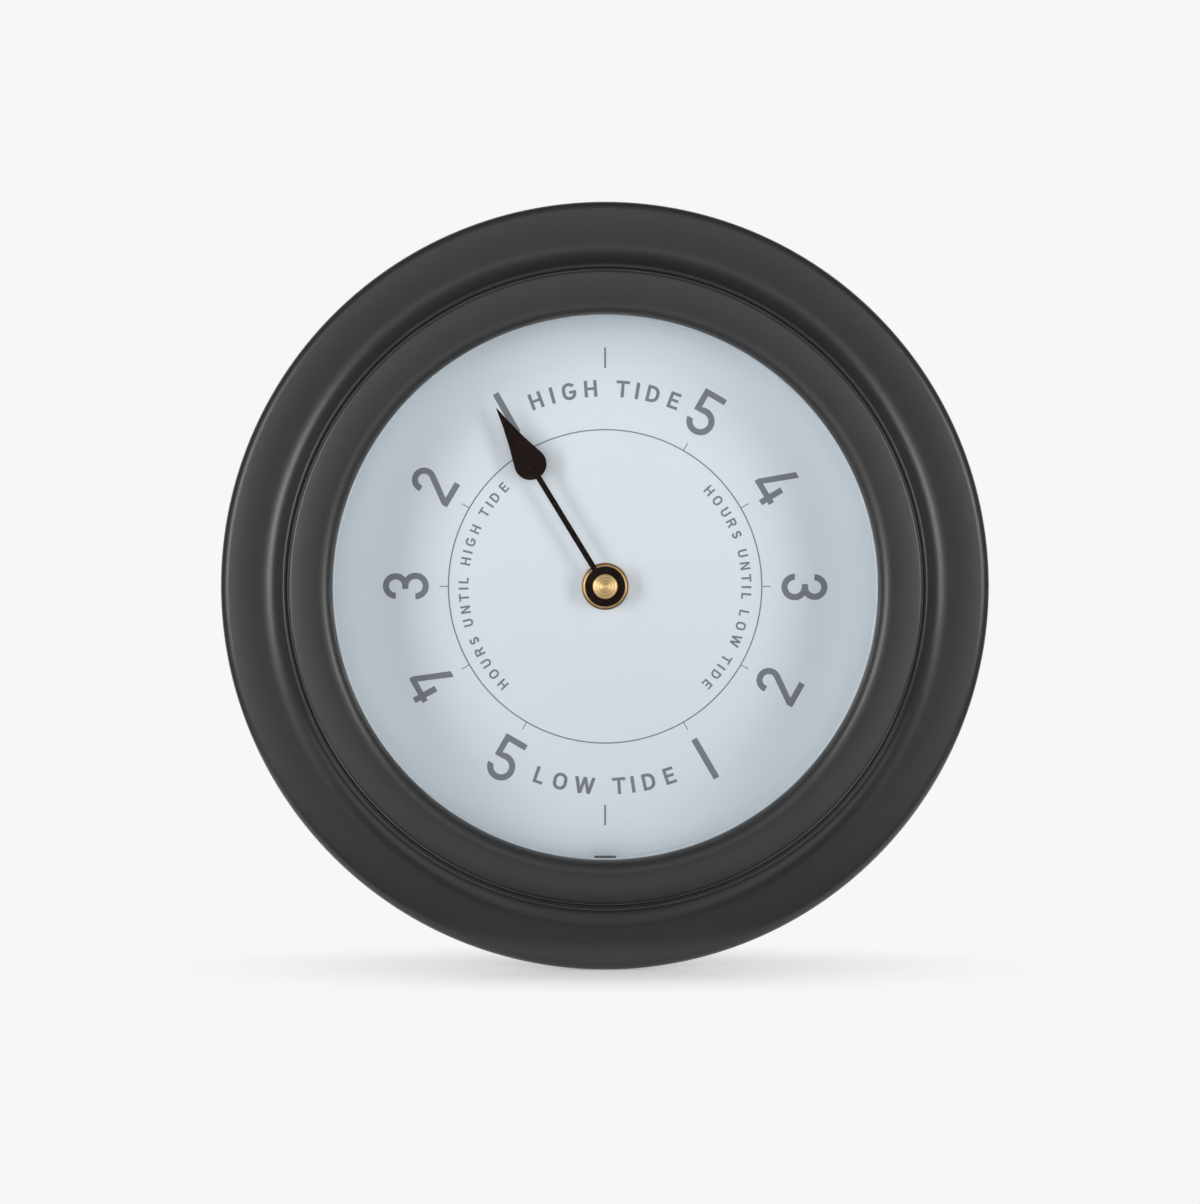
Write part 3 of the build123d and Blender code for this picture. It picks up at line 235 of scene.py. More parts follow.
@dataclass
class Pen:
    """Draws outlines as mesh edges, by pushing one vertex along lines and arcs."""

    sheet: Sheet
    origin: Vector
    unit: float = MM
    chord: float = CHORD
    at: Point = (0.0, 0.0)

    def place(self, u: float, v: float) -> Vector:
        """Where a point of the sheet is in the clock."""
        right, up, _ = self.sheet.value
        return self.origin + (right * u + up * v) * self.unit

    def start(self, u: float, v: float) -> None:
        """Sets down a single vertex, in a new mesh or in the one being edited."""
        bpy.ops.mesh.primitive_plane_add(size=MM, location=self.place(u, v), enter_editmode=True)
        bpy.ops.mesh.merge(type="CENTER")
        self.at = (u, v)

    def line(self, u: float, v: float) -> None:
        """Draws a straight line to a point."""
        step = self.place(u, v) - self.place(*self.at)
        if step.length > WELD:
            bpy.ops.mesh.extrude_region_move(TRANSFORM_OT_translate={"value": step})
        self.at = (u, v)

    def arc(self, arc: Arc) -> None:
        """Draws an arc about a centre, anticlockwise on the sheet where its sweep is positive."""
        turn = math.radians(arc.sweep)
        bpy.ops.mesh.spin(
            steps=max(2, math.ceil(abs(arc.sweep) / self.chord)),
            angle=turn,
            center=self.place(arc.cx, arc.cy),
            axis=self.sheet.value[2],
        )
        du, dv = self.at[0] - arc.cx, self.at[1] - arc.cy
        self.at = (
            arc.cx + du * math.cos(turn) - dv * math.sin(turn),
            arc.cy + du * math.sin(turn) + dv * math.cos(turn),
        )

    def trace(self, loop: Loop, closed: bool = True) -> None:
        """Draws one loop, from its first point and back to it if it is closed."""
        self.start(*loop[0])
        for step in loop[1:]:
            if isinstance(step, Arc):
                self.arc(step)
            else:
                self.line(*step)
        if closed:
            self.line(*loop[0])

    def draw(self, loops: tuple[Loop, ...], closed: bool = True) -> Piece:
        """Draws loops in a new mesh and leaves it in edit mode, all selected.

        Args:
            loops: The outlines, each from its first point.
            closed: Whether each runs back to its start.

        Returns:
            The new mesh object.
        """
        pick()
        for loop in loops:
            self.trace(loop, closed)
        bpy.ops.mesh.select_all(action="SELECT")
        bpy.ops.mesh.remove_doubles(threshold=WELD)
        return bpy.context.object


def weld_outward() -> None:
    """Merges what touches in the mesh being edited and turns its faces outwards."""
    bpy.ops.mesh.select_all(action="SELECT")
    bpy.ops.mesh.remove_doubles(threshold=WELD)
    bpy.ops.mesh.normals_make_consistent(inside=False)


def thicken(thickness: float) -> None:
    """Pulls the flat faces being edited towards the viewer, by millimetres, and closes them."""
    bpy.ops.mesh.extrude_region_move(TRANSFORM_OT_translate={"value": (0.0, -thickness * MM, 0.0)})
    weld_outward()


def turned(
    name: str, loop: Loop, segments: int, closed: bool = True, chord: float = CHORD
) -> Piece:
    """Turns a section once round the clock's axis, as on a lathe.

    Args:
        name: The piece's name.
        loop: The section, as radius and depth in front of the wall, in millimetres.
        segments: How many faces make the full turn.
        closed: Whether the section runs back to its start.
        chord: The largest turn of one straight on the section's arcs, in degrees.

    Returns:
        The turned piece.
    """
    centre = Vector((0.0, 0.0, AXIS_Z))
    piece = Pen(Sheet.SECTION, centre, chord=chord).draw((loop,), closed)
    bpy.ops.mesh.spin(steps=segments, angle=FULL_TURN, center=centre, axis=(0.0, 1.0, 0.0))
    weld_outward()
    return settle(piece, name)


def stamped(pen: Pen, loops: tuple[Loop, ...], thickness: float) -> Piece:
    """Cuts a flat shape with a thickness towards the viewer.

    Args:
        pen: The pen, at the depth of the shape's back.
        loops: The shape's outline, then its holes.
        thickness: How far the shape stands forward, in millimetres.

    Returns:
        The shape, in edit mode, all selected.
    """
    piece = pen.draw(loops)
    bpy.ops.mesh.fill(use_beauty=True)
    thicken(thickness)
    return piece


# The finishes, each a real material as it was made, some with painted shade or a painted sheen as
# noted at them. Grain that is finer than the picture can show is drawn coarser, mostly a quarter
# to half a millimetre across.


@dataclass(frozen=True)
class Finish:
    """A real material as it was made, with the drift and grain its surface shows."""

    name: str
    colour: str
    drift_to: str
    roughness: float
    drift_mm: float = 12.0
    grain_mm: float = 0.5
    grain_depth_mm: float = 0.004
    roughness_swing: float = 0.06
    metallic: float = 0.0
    specular: float = 0.5

    def noise(self, tree: Tree, size_mm: float) -> Socket:
        """Noise whose patches are about this many millimetres across."""
        place = add_node(tree, "TexCoord")
        node = add_node(
            tree, "TexNoise", {"Scale": 1.0 / (size_mm * MM), "Detail": 2.0, "Roughness": 0.5},
            {"Vector": place.outputs["Object"]},
        )
        return node.outputs["Fac"]

    def height(self, tree: Tree) -> Socket:
        """The surface's own relief, from 0 to 1."""
        return self.noise(tree, self.grain_mm)

    def tint(self, tree: Tree) -> Socket:
        """The colour, drifting between its two shades."""
        mix = add_node(
            tree, "Mix", {"data_type": "RGBA", 6: linear(self.colour), 7: linear(self.drift_to)},
            {0: self.noise(tree, self.drift_mm)},
        )
        return mix.outputs[2]

    def extras(self, tree: Tree, shader: Node) -> None:
        """Sets what only this finish has."""

    def material(self) -> bpy.types.Material:
        """The Blender material, made the first time it is asked for."""
        made = bpy.data.materials.get(self.name)
        if made:
            return made
        made = bpy.data.materials.new(self.name)
        tree = bare_tree(made)
        rough = add_node(
            tree, "MapRange",
            {3: self.roughness - self.roughness_swing, 4: self.roughness + self.roughness_swing},
            {0: self.noise(tree, self.drift_mm * ROUGH_PATCH)},
        )
        bump = add_node(
            tree, "Bump", {"Distance": self.grain_depth_mm * MM, "Strength": 1.0},
            {"Height": self.height(tree)},
        )
        shader = add_node(
            tree, "BsdfPrincipled",
            {"Metallic": self.metallic, "Specular IOR Level": self.specular},
            {
                "Base Color": self.tint(tree), "Roughness": rough.outputs[0],
                "Normal": bump.outputs["Normal"],
            },
        )
        self.extras(tree, shader)
        self.surface(tree, shader)
        made.diffuse_color = linear(self.colour)
        return made

    def surface(self, tree: Tree, shader: Node) -> None:
        """Joins the shader to the material's output."""
        add_node(tree, "OutputMaterial", links={"Surface": shader.outputs[0]})


@dataclass(frozen=True)
class TurnedFinish(Finish):
    """Metal with the fine rings a lathe tool leaves round the clock's axis, their valleys painted
    a shade deeper as painted shade.
    """

    ring_mm: float = 0.3
    anisotropy: float = 0.92
    highlight_turn: float = 0.25

    def height(self, tree: Tree) -> Socket:
        """Rings about the clock's axis, a ring's width apart."""
        place = add_node(tree, "TexCoord")
        centred = add_node(
            tree, "Mapping", {"Location": (0.0, 0.0, -AXIS_Z)}, {"Vector": place.outputs["Object"]}
        )
        rings = add_node(
            tree, "TexWave",
            {
                "wave_type": "RINGS", "rings_direction": "Y",
                "Scale": FULL_TURN / WAVE_RATE / (self.ring_mm * MM),
                "Distortion": 1.5, "Detail": 1.0, "Detail Scale": 1.0,
            },
            {"Vector": centred.outputs[0]},
        )
        return rings.outputs["Fac"]

    def tint(self, tree: Tree) -> Socket:
        """The colour, painted a shade deeper in the rings' valleys: painted shade that makes the
        rings show.
        """
        mix = add_node(
            tree, "Mix", {"data_type": "RGBA", 6: linear(self.drift_to), 7: linear(self.colour)},
            {0: self.height(tree)},
        )
        return mix.outputs[2]

    def extras(self, tree: Tree, shader: Node) -> None:
        """Stretches highlights across the rings, a quarter turn from their run."""
        shader.inputs["Anisotropic"].default_value = self.anisotropy
        shader.inputs["Anisotropic Rotation"].default_value = self.highlight_turn
        round_axis = add_node(tree, "Tangent", {"direction_type": "RADIAL", "axis": "Y"})
        tree.links.new(round_axis.outputs[0], shader.inputs["Tangent"])


@dataclass(frozen=True)
class WoundFinish(Finish):
    """Wire wound in close turns along a bobbin that lies across the clock."""

    turn_mm: float = 0.35

    def height(self, tree: Tree) -> Socket:
        """Bands across the bobbin, a turn's width apart."""
        place = add_node(tree, "TexCoord")
        bands = add_node(
            tree, "TexWave",
            {
                "wave_type": "BANDS", "bands_direction": "X", "Distortion": 0.4,
                "Scale": FULL_TURN / WAVE_RATE / (self.turn_mm * MM),
            },
            {"Vector": place.outputs["Object"]},
        )
        return bands.outputs["Fac"]


@dataclass(frozen=True)
class GlassFinish(Finish):
    """A clear pane that lets the dial's light and shadows through."""

    ior: float = 1.52

    def extras(self, tree: Tree, shader: Node) -> None:
        """Makes the shader clear."""
        shader.inputs["Transmission Weight"].default_value = 1.0
        shader.inputs["IOR"].default_value = self.ior

    def surface(self, tree: Tree, shader: Node) -> None:
        """Lets shadow and diffuse rays pass the pane unbent."""
        path = add_node(tree, "LightPath")
        either = add_node(
            tree, "Math", {"operation": "MAXIMUM"},
            {0: path.outputs["Is Shadow Ray"], 1: path.outputs["Is Diffuse Ray"]},
        )
        clear = add_node(tree, "BsdfTransparent", {"Color": linear(WHITE)})
        mix = add_node(
            tree, "MixShader",
            links={0: either.outputs[0], 1: shader.outputs[0], 2: clear.outputs[0]},
        )
        add_node(tree, "OutputMaterial", links={"Surface": mix.outputs[0]})


# Polyester powder sprayed on steel and baked: an even satin charcoal whose faint
# orange peel, about a millimetre across, blurs the edge of every highlight.
POWDER_COAT = Finish(
    "satin_charcoal_powder_coat", "#303031", "#2D2D2E", 0.36,
    drift_mm=9.0, grain_mm=1.1, grain_depth_mm=0.006, roughness_swing=0.04, specular=0.6,
)
# Float glass, cut round and ground at the edge: nearly colourless, glossy, flat.
FLOAT_GLASS = GlassFinish(
    "clear_float_glass", "#FFFFFF", "#FDFFFE", 0.01,
    drift_mm=40.0, grain_mm=60.0, grain_depth_mm=0.0005, roughness_swing=0.005,
)
# Satin enamel on sheet metal: a cool bluish white with a barely visible matt tooth.
DIAL_ENAMEL = Finish(
    "cool_white_printed_dial", "#D6DDE4", "#D2DAE2", 0.55,
    drift_mm=30.0, grain_mm=0.35, grain_depth_mm=0.0015, specular=0.35,
)
# Screen-printed ink: a flat mid grey, a touch mottled where the mesh laid it down.
DIAL_INK = Finish(
    "grey_screen_printed_ink", "#767B82", "#6F747B", 0.6,
    drift_mm=3.0, grain_mm=0.25, grain_depth_mm=0.001, specular=0.3,
)
# Stoved enamel on a stamped hand: almost black, drifting in random patches to a brown that is a
# painted sheen.
HAND_ENAMEL_AND_SHEEN = Finish(
    "black_enamel_brown_painted_sheen", "#060505", "#24120B", 0.26,
    drift_mm=9.0, grain_mm=1.6, grain_depth_mm=0.003, roughness_swing=0.04, specular=0.18,
)
# Lathe-turned brass left bright: warm yellow metal whose rings pull light into a bow tie.
# A lathe's rings are finer than this, and they are drawn coarse enough to show, with painted shade
# in their valleys.
TURNED_BRASS = TurnedFinish(
    "turned_brass", "#F4D9A4", "#DCB67A", 0.49,
    drift_mm=2.5, grain_depth_mm=0.006, metallic=1.0, ring_mm=0.9,
)
# The same brass painted a browner, duller shade for the washer round the nut: painted shade
# between the nut and the washer.
SHADED_WASHER_BRASS = TurnedFinish(
    "washer_brass_painted_shade", "#9C7A48", "#83633A", 0.5,
    drift_mm=2.5, grain_depth_mm=0.006, metallic=1.0, ring_mm=0.8,
)
# Natural acetal, injection moulded: milky, faintly blue, waxy.
NATURAL_ACETAL = Finish(
    "natural_acetal_moulding", "#DDE4E7", "#D5DDE1", 0.42,
    drift_mm=20.0, grain_mm=0.6, grain_depth_mm=0.003,
)
# Silicone sheet, knife-cut: matt mid grey.
SILICONE = Finish(
    "grey_silicone_gasket", "#6C7072", "#63676A", 0.7, drift_mm=6.0, grain_mm=0.4,
)
# High-impact styrene moulded in a spark-eroded tool: black, fine even grain, dull sheen.
BLACK_STYRENE = Finish(
    "black_moulded_styrene", "#1C1D1F", "#222325", 0.5,
    drift_mm=16.0, grain_mm=0.45, grain_depth_mm=0.012, specular=0.45,
)
# ABS moulded in a smoother tool for the movement: black with a slightly brighter gloss.
BLACK_ABS = Finish(
    "black_moulded_abs", "#202124", "#26272A", 0.4,
    drift_mm=12.0, grain_mm=0.6, grain_depth_mm=0.008,
)
# Zinc electroplated on pressed steel: bright bluish grey, clouded, with faint rolling haze.
BRIGHT_ZINC = Finish(
    "bright_zinc_plated_steel", "#B9BEC4", "#A4A8AB", 0.34,
    drift_mm=5.0, grain_mm=0.5, grain_depth_mm=0.004, roughness_swing=0.1, metallic=1.0,
)
# Bright acetal gears: white, slightly waxy.
WHITE_ACETAL = Finish(
    "white_acetal_gears", "#E8E6DF", "#E0DED6", 0.4, drift_mm=5.0, grain_depth_mm=0.002,
)
# Black acetal pinion.
BLACK_ACETAL = Finish(
    "black_acetal_pinion", "#232325", "#2B2B2D", 0.38, drift_mm=3.0, grain_depth_mm=0.002,
)
# Centreless-ground arbor steel: grey, clean, fairly glossy.
GROUND_STEEL = Finish(
    "ground_steel_arbor", "#A9ABAE", "#9A9CA0", 0.25,
    drift_mm=2.0, grain_depth_mm=0.001, metallic=1.0,
)
# Sintered ferrite: dark grey, gritty, dull.
FERRITE = Finish(
    "sintered_ferrite_magnet", "#3A3B3E", "#2E2F31", 0.6,
    drift_mm=0.8, grain_mm=0.15, grain_depth_mm=0.008, metallic=0.3,
)
# Stamped soft iron, annealed: pale straw grey with burr-dull edges.
SOFT_IRON = Finish(
    "annealed_soft_iron", "#9B968C", "#8B867E", 0.42,
    drift_mm=3.0, grain_mm=0.3, grain_depth_mm=0.004, metallic=1.0,
)
# Nylon bobbin moulding: off-white.
NYLON_BOBBIN = Finish("natural_nylon_bobbin", "#DCD6C6", "#D2CCBB", 0.45, drift_mm=4.0)
# Enamelled copper wire in close turns: deep orange-brown with a glossy ripple.
COPPER_WIRE = WoundFinish(
    "enamelled_copper_winding", "#A2542B", "#8C4522", 0.3,
    drift_mm=1.5, grain_depth_mm=0.06, metallic=1.0,
)
# Fibreglass board under solder mask: green, faintly woven.
SOLDER_MASK = Finish(
    "green_solder_mask_board", "#2F6B3F", "#2A5F38", 0.35, drift_mm=3.0, grain_depth_mm=0.004,
)
# Black epoxy blob over the chip: dark, glossy, a little uneven.
EPOXY = Finish("black_epoxy_cover", "#151517", "#1C1C1E", 0.2, drift_mm=2.0, grain_mm=1.5)
# Drawn nickel-plated can of the crystal: bright, clean.
NICKEL_CAN = Finish(
    "nickel_plated_crystal_can", "#C4C2BD", "#B6B4AF", 0.22, drift_mm=2.0, metallic=1.0,
)
# Rolled nickel-plated strip, bent into springs and contacts: bright with fine rolling lines.
NICKEL_STRIP = Finish(
    "nickel_plated_spring_strip", "#C9C7C1", "#B4B2AD", 0.24,
    drift_mm=3.0, grain_mm=0.3, grain_depth_mm=0.003, metallic=1.0,
)
# Shrunk plastic sleeve on a dry cell: plain slate grey, glossy.
CELL_SLEEVE = Finish(
    "slate_shrink_sleeve", "#3F4A55", "#38424C", 0.25,
    drift_mm=8.0, grain_mm=2.5, grain_depth_mm=0.006, specular=0.5,
)

# The CAD nodes that are shut inside, under what each is made of.
INNER_FINISHES: dict[Finish, tuple[str, ...]] = {
    SILICONE: ("rubber_washer",),
    BRIGHT_ZINC: ("coil_screws",),
    TURNED_BRASS: ("movement_bushing", "tide_wheel", "hand_bush"),
    WHITE_ACETAL: (
        "train_plate", "reverse_wheel", "centre_wheel", "third_wheel", "fourth_wheel",
        "fifth_wheel",
    ),
    BLACK_ACETAL: ("rotor_pinion",),
    GROUND_STEEL: ("centre_arbor",),
    FERRITE: ("rotor_magnet",),
    SOFT_IRON: ("stator", "coil_core"),
    NYLON_BOBBIN: ("coil_bobbin",),
    COPPER_WIRE: ("coil_winding",),
    SOLDER_MASK: ("circuit_board",),
    EPOXY: ("timing_chip",),
    NICKEL_CAN: ("quartz_crystal",),
    NICKEL_STRIP: ("clutch_spring", "positive_contact", "negative_contact"),
}


# The sub-assemblies, from the case inwards.


@dataclass
class SubAssembly:
    """Pieces that are made and dressed together, from sizes in millimetres and degrees."""

    pieces: list[Piece] = field(default_factory=list, init=False)

    def dress(self, piece: Piece, finish: Finish) -> None:
        """Gives a piece its finish and counts it to the sub-assembly."""
        piece.data.materials.clear()
        piece.data.materials.append(finish.material())
        self.pieces.append(piece)

    def keep(
        self, piece: Piece, finish: Finish, body: str = FIXED,
        stands_for: tuple[str, ...] = (), slot: str | None = None,
    ) -> None:
        """Dresses a finished piece and ties it to the frame.

        Args:
            piece: The piece, its place in its mesh.
            finish: What it is made of.
            body: The CAD body it moves with.
            stands_for: The CAD nodes it is shown in place of.
            slot: The record's material slot, where it has one; not used.
        """
        self.dress(piece, finish)
        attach(piece, body)
        if stands_for:
            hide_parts(*stands_for)


@dataclass
class SteelCase(SubAssembly):
    """The spun sheet-steel case and the rolled bezel pressed onto its spigot."""

    segments: int = 240
    wall: float = 0.9
    case_skin: Loop = (
        (113.2, 0.0), (118.2, 0.0), Arc(118.2, 1.8, 90.0), (120.0, 5.626),
        Arc(116.44, 5.626, 80.0), Arc(109.418, -34.2, 10.0), (107.1, 9.8),
        Arc(107.1, 16.8, -80.0), (99.7, 22.3), Arc(98.4, 22.3, 90.0),
        (96.6, 23.5), (96.6, 30.0),
    )
    bezel_section: Loop = (
        (96.6, 23.5), (98.4, 23.5), Arc(98.4, 24.4, 242.7), (95.719, 42.949),
        Arc(94.305, 42.82, 72.8), Arc(87.05, 8.7, 12.0),
        Arc(87.05, 40.15, 80.0), (82.8, 35.2), Arc(84.0, 35.2, 90.0), (88.0, 34.0),
        (88.0, 35.0), (84.2, 35.0), (83.9, 35.4), (83.4, 41.0), (84.7, 43.1),
        (87.05, 44.1), (90.5, 44.1), (94.3, 43.85), (95.0, 43.3), (96.6, 30.2),
    )

    def build(self) -> None:
        """Spins both rings."""
        case = turned("case_shell_spun", self.case_skin, self.segments, closed=False)
        apply_modifier(
            case, "SOLIDIFY", thickness=self.wall * MM, offset=-1.0, use_even_offset=True
        )
        settle(case, "case_shell_spun")
        self.keep(case, POWDER_COAT, FIXED, ("case_shell",), "case_paint")
        bezel = turned("bezel_rolled", self.bezel_section, self.segments)
        self.keep(bezel, POWDER_COAT, FIXED, ("bezel",), "case_paint")


@dataclass
class Glazing(SubAssembly):
    """The window pane, its gasket and the moulded ring that holds it off the dial."""

    segments: int = 192
    pane: Loop = (
        (0.0, 31.2), (90.2, 31.2), (90.5, 31.5), (90.5, 33.3), (90.2, 33.6), (0.0, 33.6),
    )
    gasket: Loop = (
        (84.9, 33.6), (90.2, 33.6), (90.3, 33.7), (90.3, 33.9), (90.2, 34.0),
        (84.9, 34.0), (84.8, 33.9), (84.8, 33.7),
    )
    spacer: Loop = (
        (83.5, 21.2), (95.3, 21.2), (95.3, 22.6), (84.7, 22.6), (84.7, 29.8), (92.4, 29.8),
        (92.4, 33.2), (90.9, 33.2), (90.9, 31.2), (83.1, 31.2), (82.9, 31.0), (82.9, 24.2),
        (83.5, 23.6),
    )
    notch_width: float = 6.8
    notch_foot: float = 22.0
    notch_top: float = 28.6
    notch_radius: float = 84.0
    notch_reach: float = 4.0
    key_width: float = 6.7
    key_span: Pair = (82.75, 84.5)
    key_foot: float = 22.1
    key_gap: float = 0.1
    key_corner: float = 0.15

    def build(self) -> None:
        """Turns the three rings, saws the spacer's notch at six o'clock and sets the key in it."""
        pane = turned("window_pane", self.pane, self.segments, closed=False)
        self.keep(pane, FLOAT_GLASS, FIXED, ("glass",), "window_glass")
        gasket = turned("window_gasket", self.gasket, self.segments)
        self.keep(gasket, SILICONE, FIXED, ("glass_gasket",), "gasket")
        spacer = turned("spacer_moulding", self.spacer, self.segments)
        depth = self.notch_top - self.notch_foot
        middle = Vector((
            0.0, -(self.notch_foot + depth / 2) * MM, AXIS_Z - self.notch_radius * MM
        ))
        carve(spacer, block(Vector((self.notch_width, depth, self.notch_reach)) * MM, middle))
        settle(spacer, "spacer_moulding")
        self.keep(spacer, NATURAL_ACETAL, FIXED, ("spacer_ring",), "spacer")
        self.keep(self.key(), BLACK_STYRENE)

    def key(self) -> Piece:
        """The black key at six o'clock that keeps the spacer from turning on the dial."""
        inner, outer = self.key_span
        half = self.key_width / 2
        outline = ((-half, -outer), (-half, -inner), (half, -inner), (half, -outer))
        pen = Pen(Sheet.FRONT, Vector((0.0, -self.key_foot * MM, AXIS_Z)))
        thickness = self.notch_top - self.key_foot - self.key_gap
        key = settle(stamped(pen, (outline,), thickness), "spacer_key")
        apply_modifier(key, "BEVEL", width=self.key_corner * MM, segments=EDGE_FACES)
        return settle(key, "spacer_key")


# The letters and the numerals, each as its width and its loops, and how many of the loops'
# units either kind is tall.
LETTER_TALL = 1.0
NUMERAL_TALL = 45.5
LETTERS: dict[str, Letter] = {
    "D": (0.70, (
        ((0.0, 0.0), (0.0, 1.0), (0.28, 1.0), Arc(0.28, 0.58, -90.0), (0.70, 0.42),
         Arc(0.28, 0.42, -90.0)),
        ((0.15, 0.14), (0.15, 0.86), (0.28, 0.86), Arc(0.28, 0.585, -90.0), (0.555, 0.415),
         Arc(0.28, 0.415, -90.0)),
    )),
    "E": (0.60, (
        ((0.0, 0.0), (0.0, 1.0), (0.58, 1.0), (0.58, 0.86), (0.15, 0.86), (0.15, 0.58),
         (0.53, 0.58), (0.53, 0.44), (0.15, 0.44), (0.15, 0.14), (0.60, 0.14), (0.60, 0.0)),
    )),
    "G": (0.77, (
        ((0.7004, 0.8508), Arc(0.385, 0.63, 145.0), (0.0, 0.37), Arc(0.385, 0.37, 180.0),
         (0.77, 0.50), (0.41, 0.50), (0.41, 0.37), (0.625, 0.37), Arc(0.385, 0.37, -180.0),
         (0.145, 0.63), Arc(0.385, 0.63, -145.0)),
    )),
    "H": (0.70, (
        ((0.0, 0.0), (0.0, 1.0), (0.15, 1.0), (0.15, 0.575), (0.55, 0.575), (0.55, 1.0),
         (0.70, 1.0), (0.70, 0.0), (0.55, 0.0), (0.55, 0.43), (0.15, 0.43), (0.15, 0.0)),
    )),
    "I": (0.15, (((0.0, 0.0), (0.0, 1.0), (0.15, 1.0), (0.15, 0.0)),)),
    "L": (0.54, (
        ((0.0, 0.0), (0.0, 1.0), (0.15, 1.0), (0.15, 0.14), (0.54, 0.14), (0.54, 0.0)),
    )),
    "N": (0.70, (
        ((0.0, 0.0), (0.0, 1.0), (0.17, 1.0), (0.555, 0.26), (0.555, 1.0), (0.70, 1.0),
         (0.70, 0.0), (0.535, 0.0), (0.145, 0.74), (0.145, 0.0)),
    )),
    "O": (0.77, (
        ((0.0, 0.37), Arc(0.385, 0.37, 180.0), (0.77, 0.63), Arc(0.385, 0.63, 180.0)),
        ((0.145, 0.37), Arc(0.385, 0.37, 180.0), (0.625, 0.63), Arc(0.385, 0.63, 180.0)),
    )),
    "R": (0.70, (
        ((0.0, 0.0), (0.0, 1.0), (0.41, 1.0), Arc(0.41, 0.72, -158.0), (0.70, 0.0),
         (0.53, 0.0), (0.355, 0.43), (0.15, 0.43), (0.15, 0.0)),
        ((0.15, 0.57), (0.15, 0.86), (0.40, 0.86), Arc(0.40, 0.715, -180.0)),
    )),
    "S": (0.69, (
        ((0.6161, 0.8097), Arc(0.345, 0.711, 250.0), Arc(0.345, 0.289, -250.0),
         (0.0739, 0.1903), Arc(0.345, 0.289, 250.0), Arc(0.345, 0.711, -250.0)),
    )),
    "T": (0.74, (
        ((0.0, 1.0), (0.74, 1.0), (0.74, 0.86), (0.445, 0.86), (0.445, 0.0), (0.295, 0.0),
         (0.295, 0.86), (0.0, 0.86)),
    )),
    "U": (0.69, (
        ((0.0, 1.0), (0.145, 1.0), (0.145, 0.345), Arc(0.345, 0.345, 180.0), (0.545, 1.0),
         (0.69, 1.0), (0.69, 0.345), Arc(0.345, 0.345, -180.0)),
    )),
    "W": (1.16, (
        ((0.0, 1.0), (0.16, 1.0), (0.323, 0.32), (0.50, 1.0), (0.66, 1.0), (0.837, 0.32),
         (1.0, 1.0), (1.16, 1.0), (0.92, 0.0), (0.76, 0.0), (0.58, 0.692), (0.40, 0.0),
         (0.24, 0.0)),
    )),
}
NUMERALS: dict[str, Letter] = {
    "1": (5.9, (((0.0, 0.5), (0.0, 45.0), (5.9, 45.0), (5.9, 0.5)),)),
    "2": (25.5, (
        ((0.0, 33.5), Arc(12.0, 33.5, -215.0), (7.2, 5.75), (25.5, 5.75), (25.5, 0.0),
         (0.0, 0.0), (0.0, 5.5), (17.12, 29.92), Arc(12.0, 33.5, 215.0), (5.75, 31.9),
         (0.0, 31.9)),
    )),
    "3": (24.6, (
        ((-0.3, 32.9), Arc(12.3, 32.9, -229.9), Arc(12.3, 13.05, -231.5), (5.0, 13.05),
         Arc(12.3, 13.05, 270.0), (9.6, 20.35), (9.6, 26.1), (12.3, 26.1),
         Arc(12.3, 32.9, 270.0)),
    )),
    "4": (27.6, (
        ((13.4, 45.5), (19.6, 45.5), (6.3, 11.6), (18.6, 11.6), (18.6, 24.4), (24.3, 24.4),
         (24.3, 11.6), (27.6, 11.6), (27.6, 6.0), (24.3, 6.0), (24.3, 0.0), (18.6, 0.0),
         (18.6, 6.0), (0.0, 6.0), (0.0, 10.2)),
    )),
    "5": (26.4, (
        ((1.6, 45.5), (25.4, 45.5), (25.4, 39.8), (7.3, 39.8), (7.3, 26.8),
         Arc(13.2, 14.2, -288.1), (5.23, 12.5), Arc(13.2, 14.2, 274.9), (1.6, 22.0)),
    )),
}


@dataclass(frozen=True)
class Legend:
    """One run of print on the dial: its letters and the clock angle of each, in degrees."""

    text: str
    angles: tuple[float, ...]
    radius: float
    height: float
    tops: tuple[Tops, ...] | Tops = Tops.OUTWARD
    set_width: float = 1.07


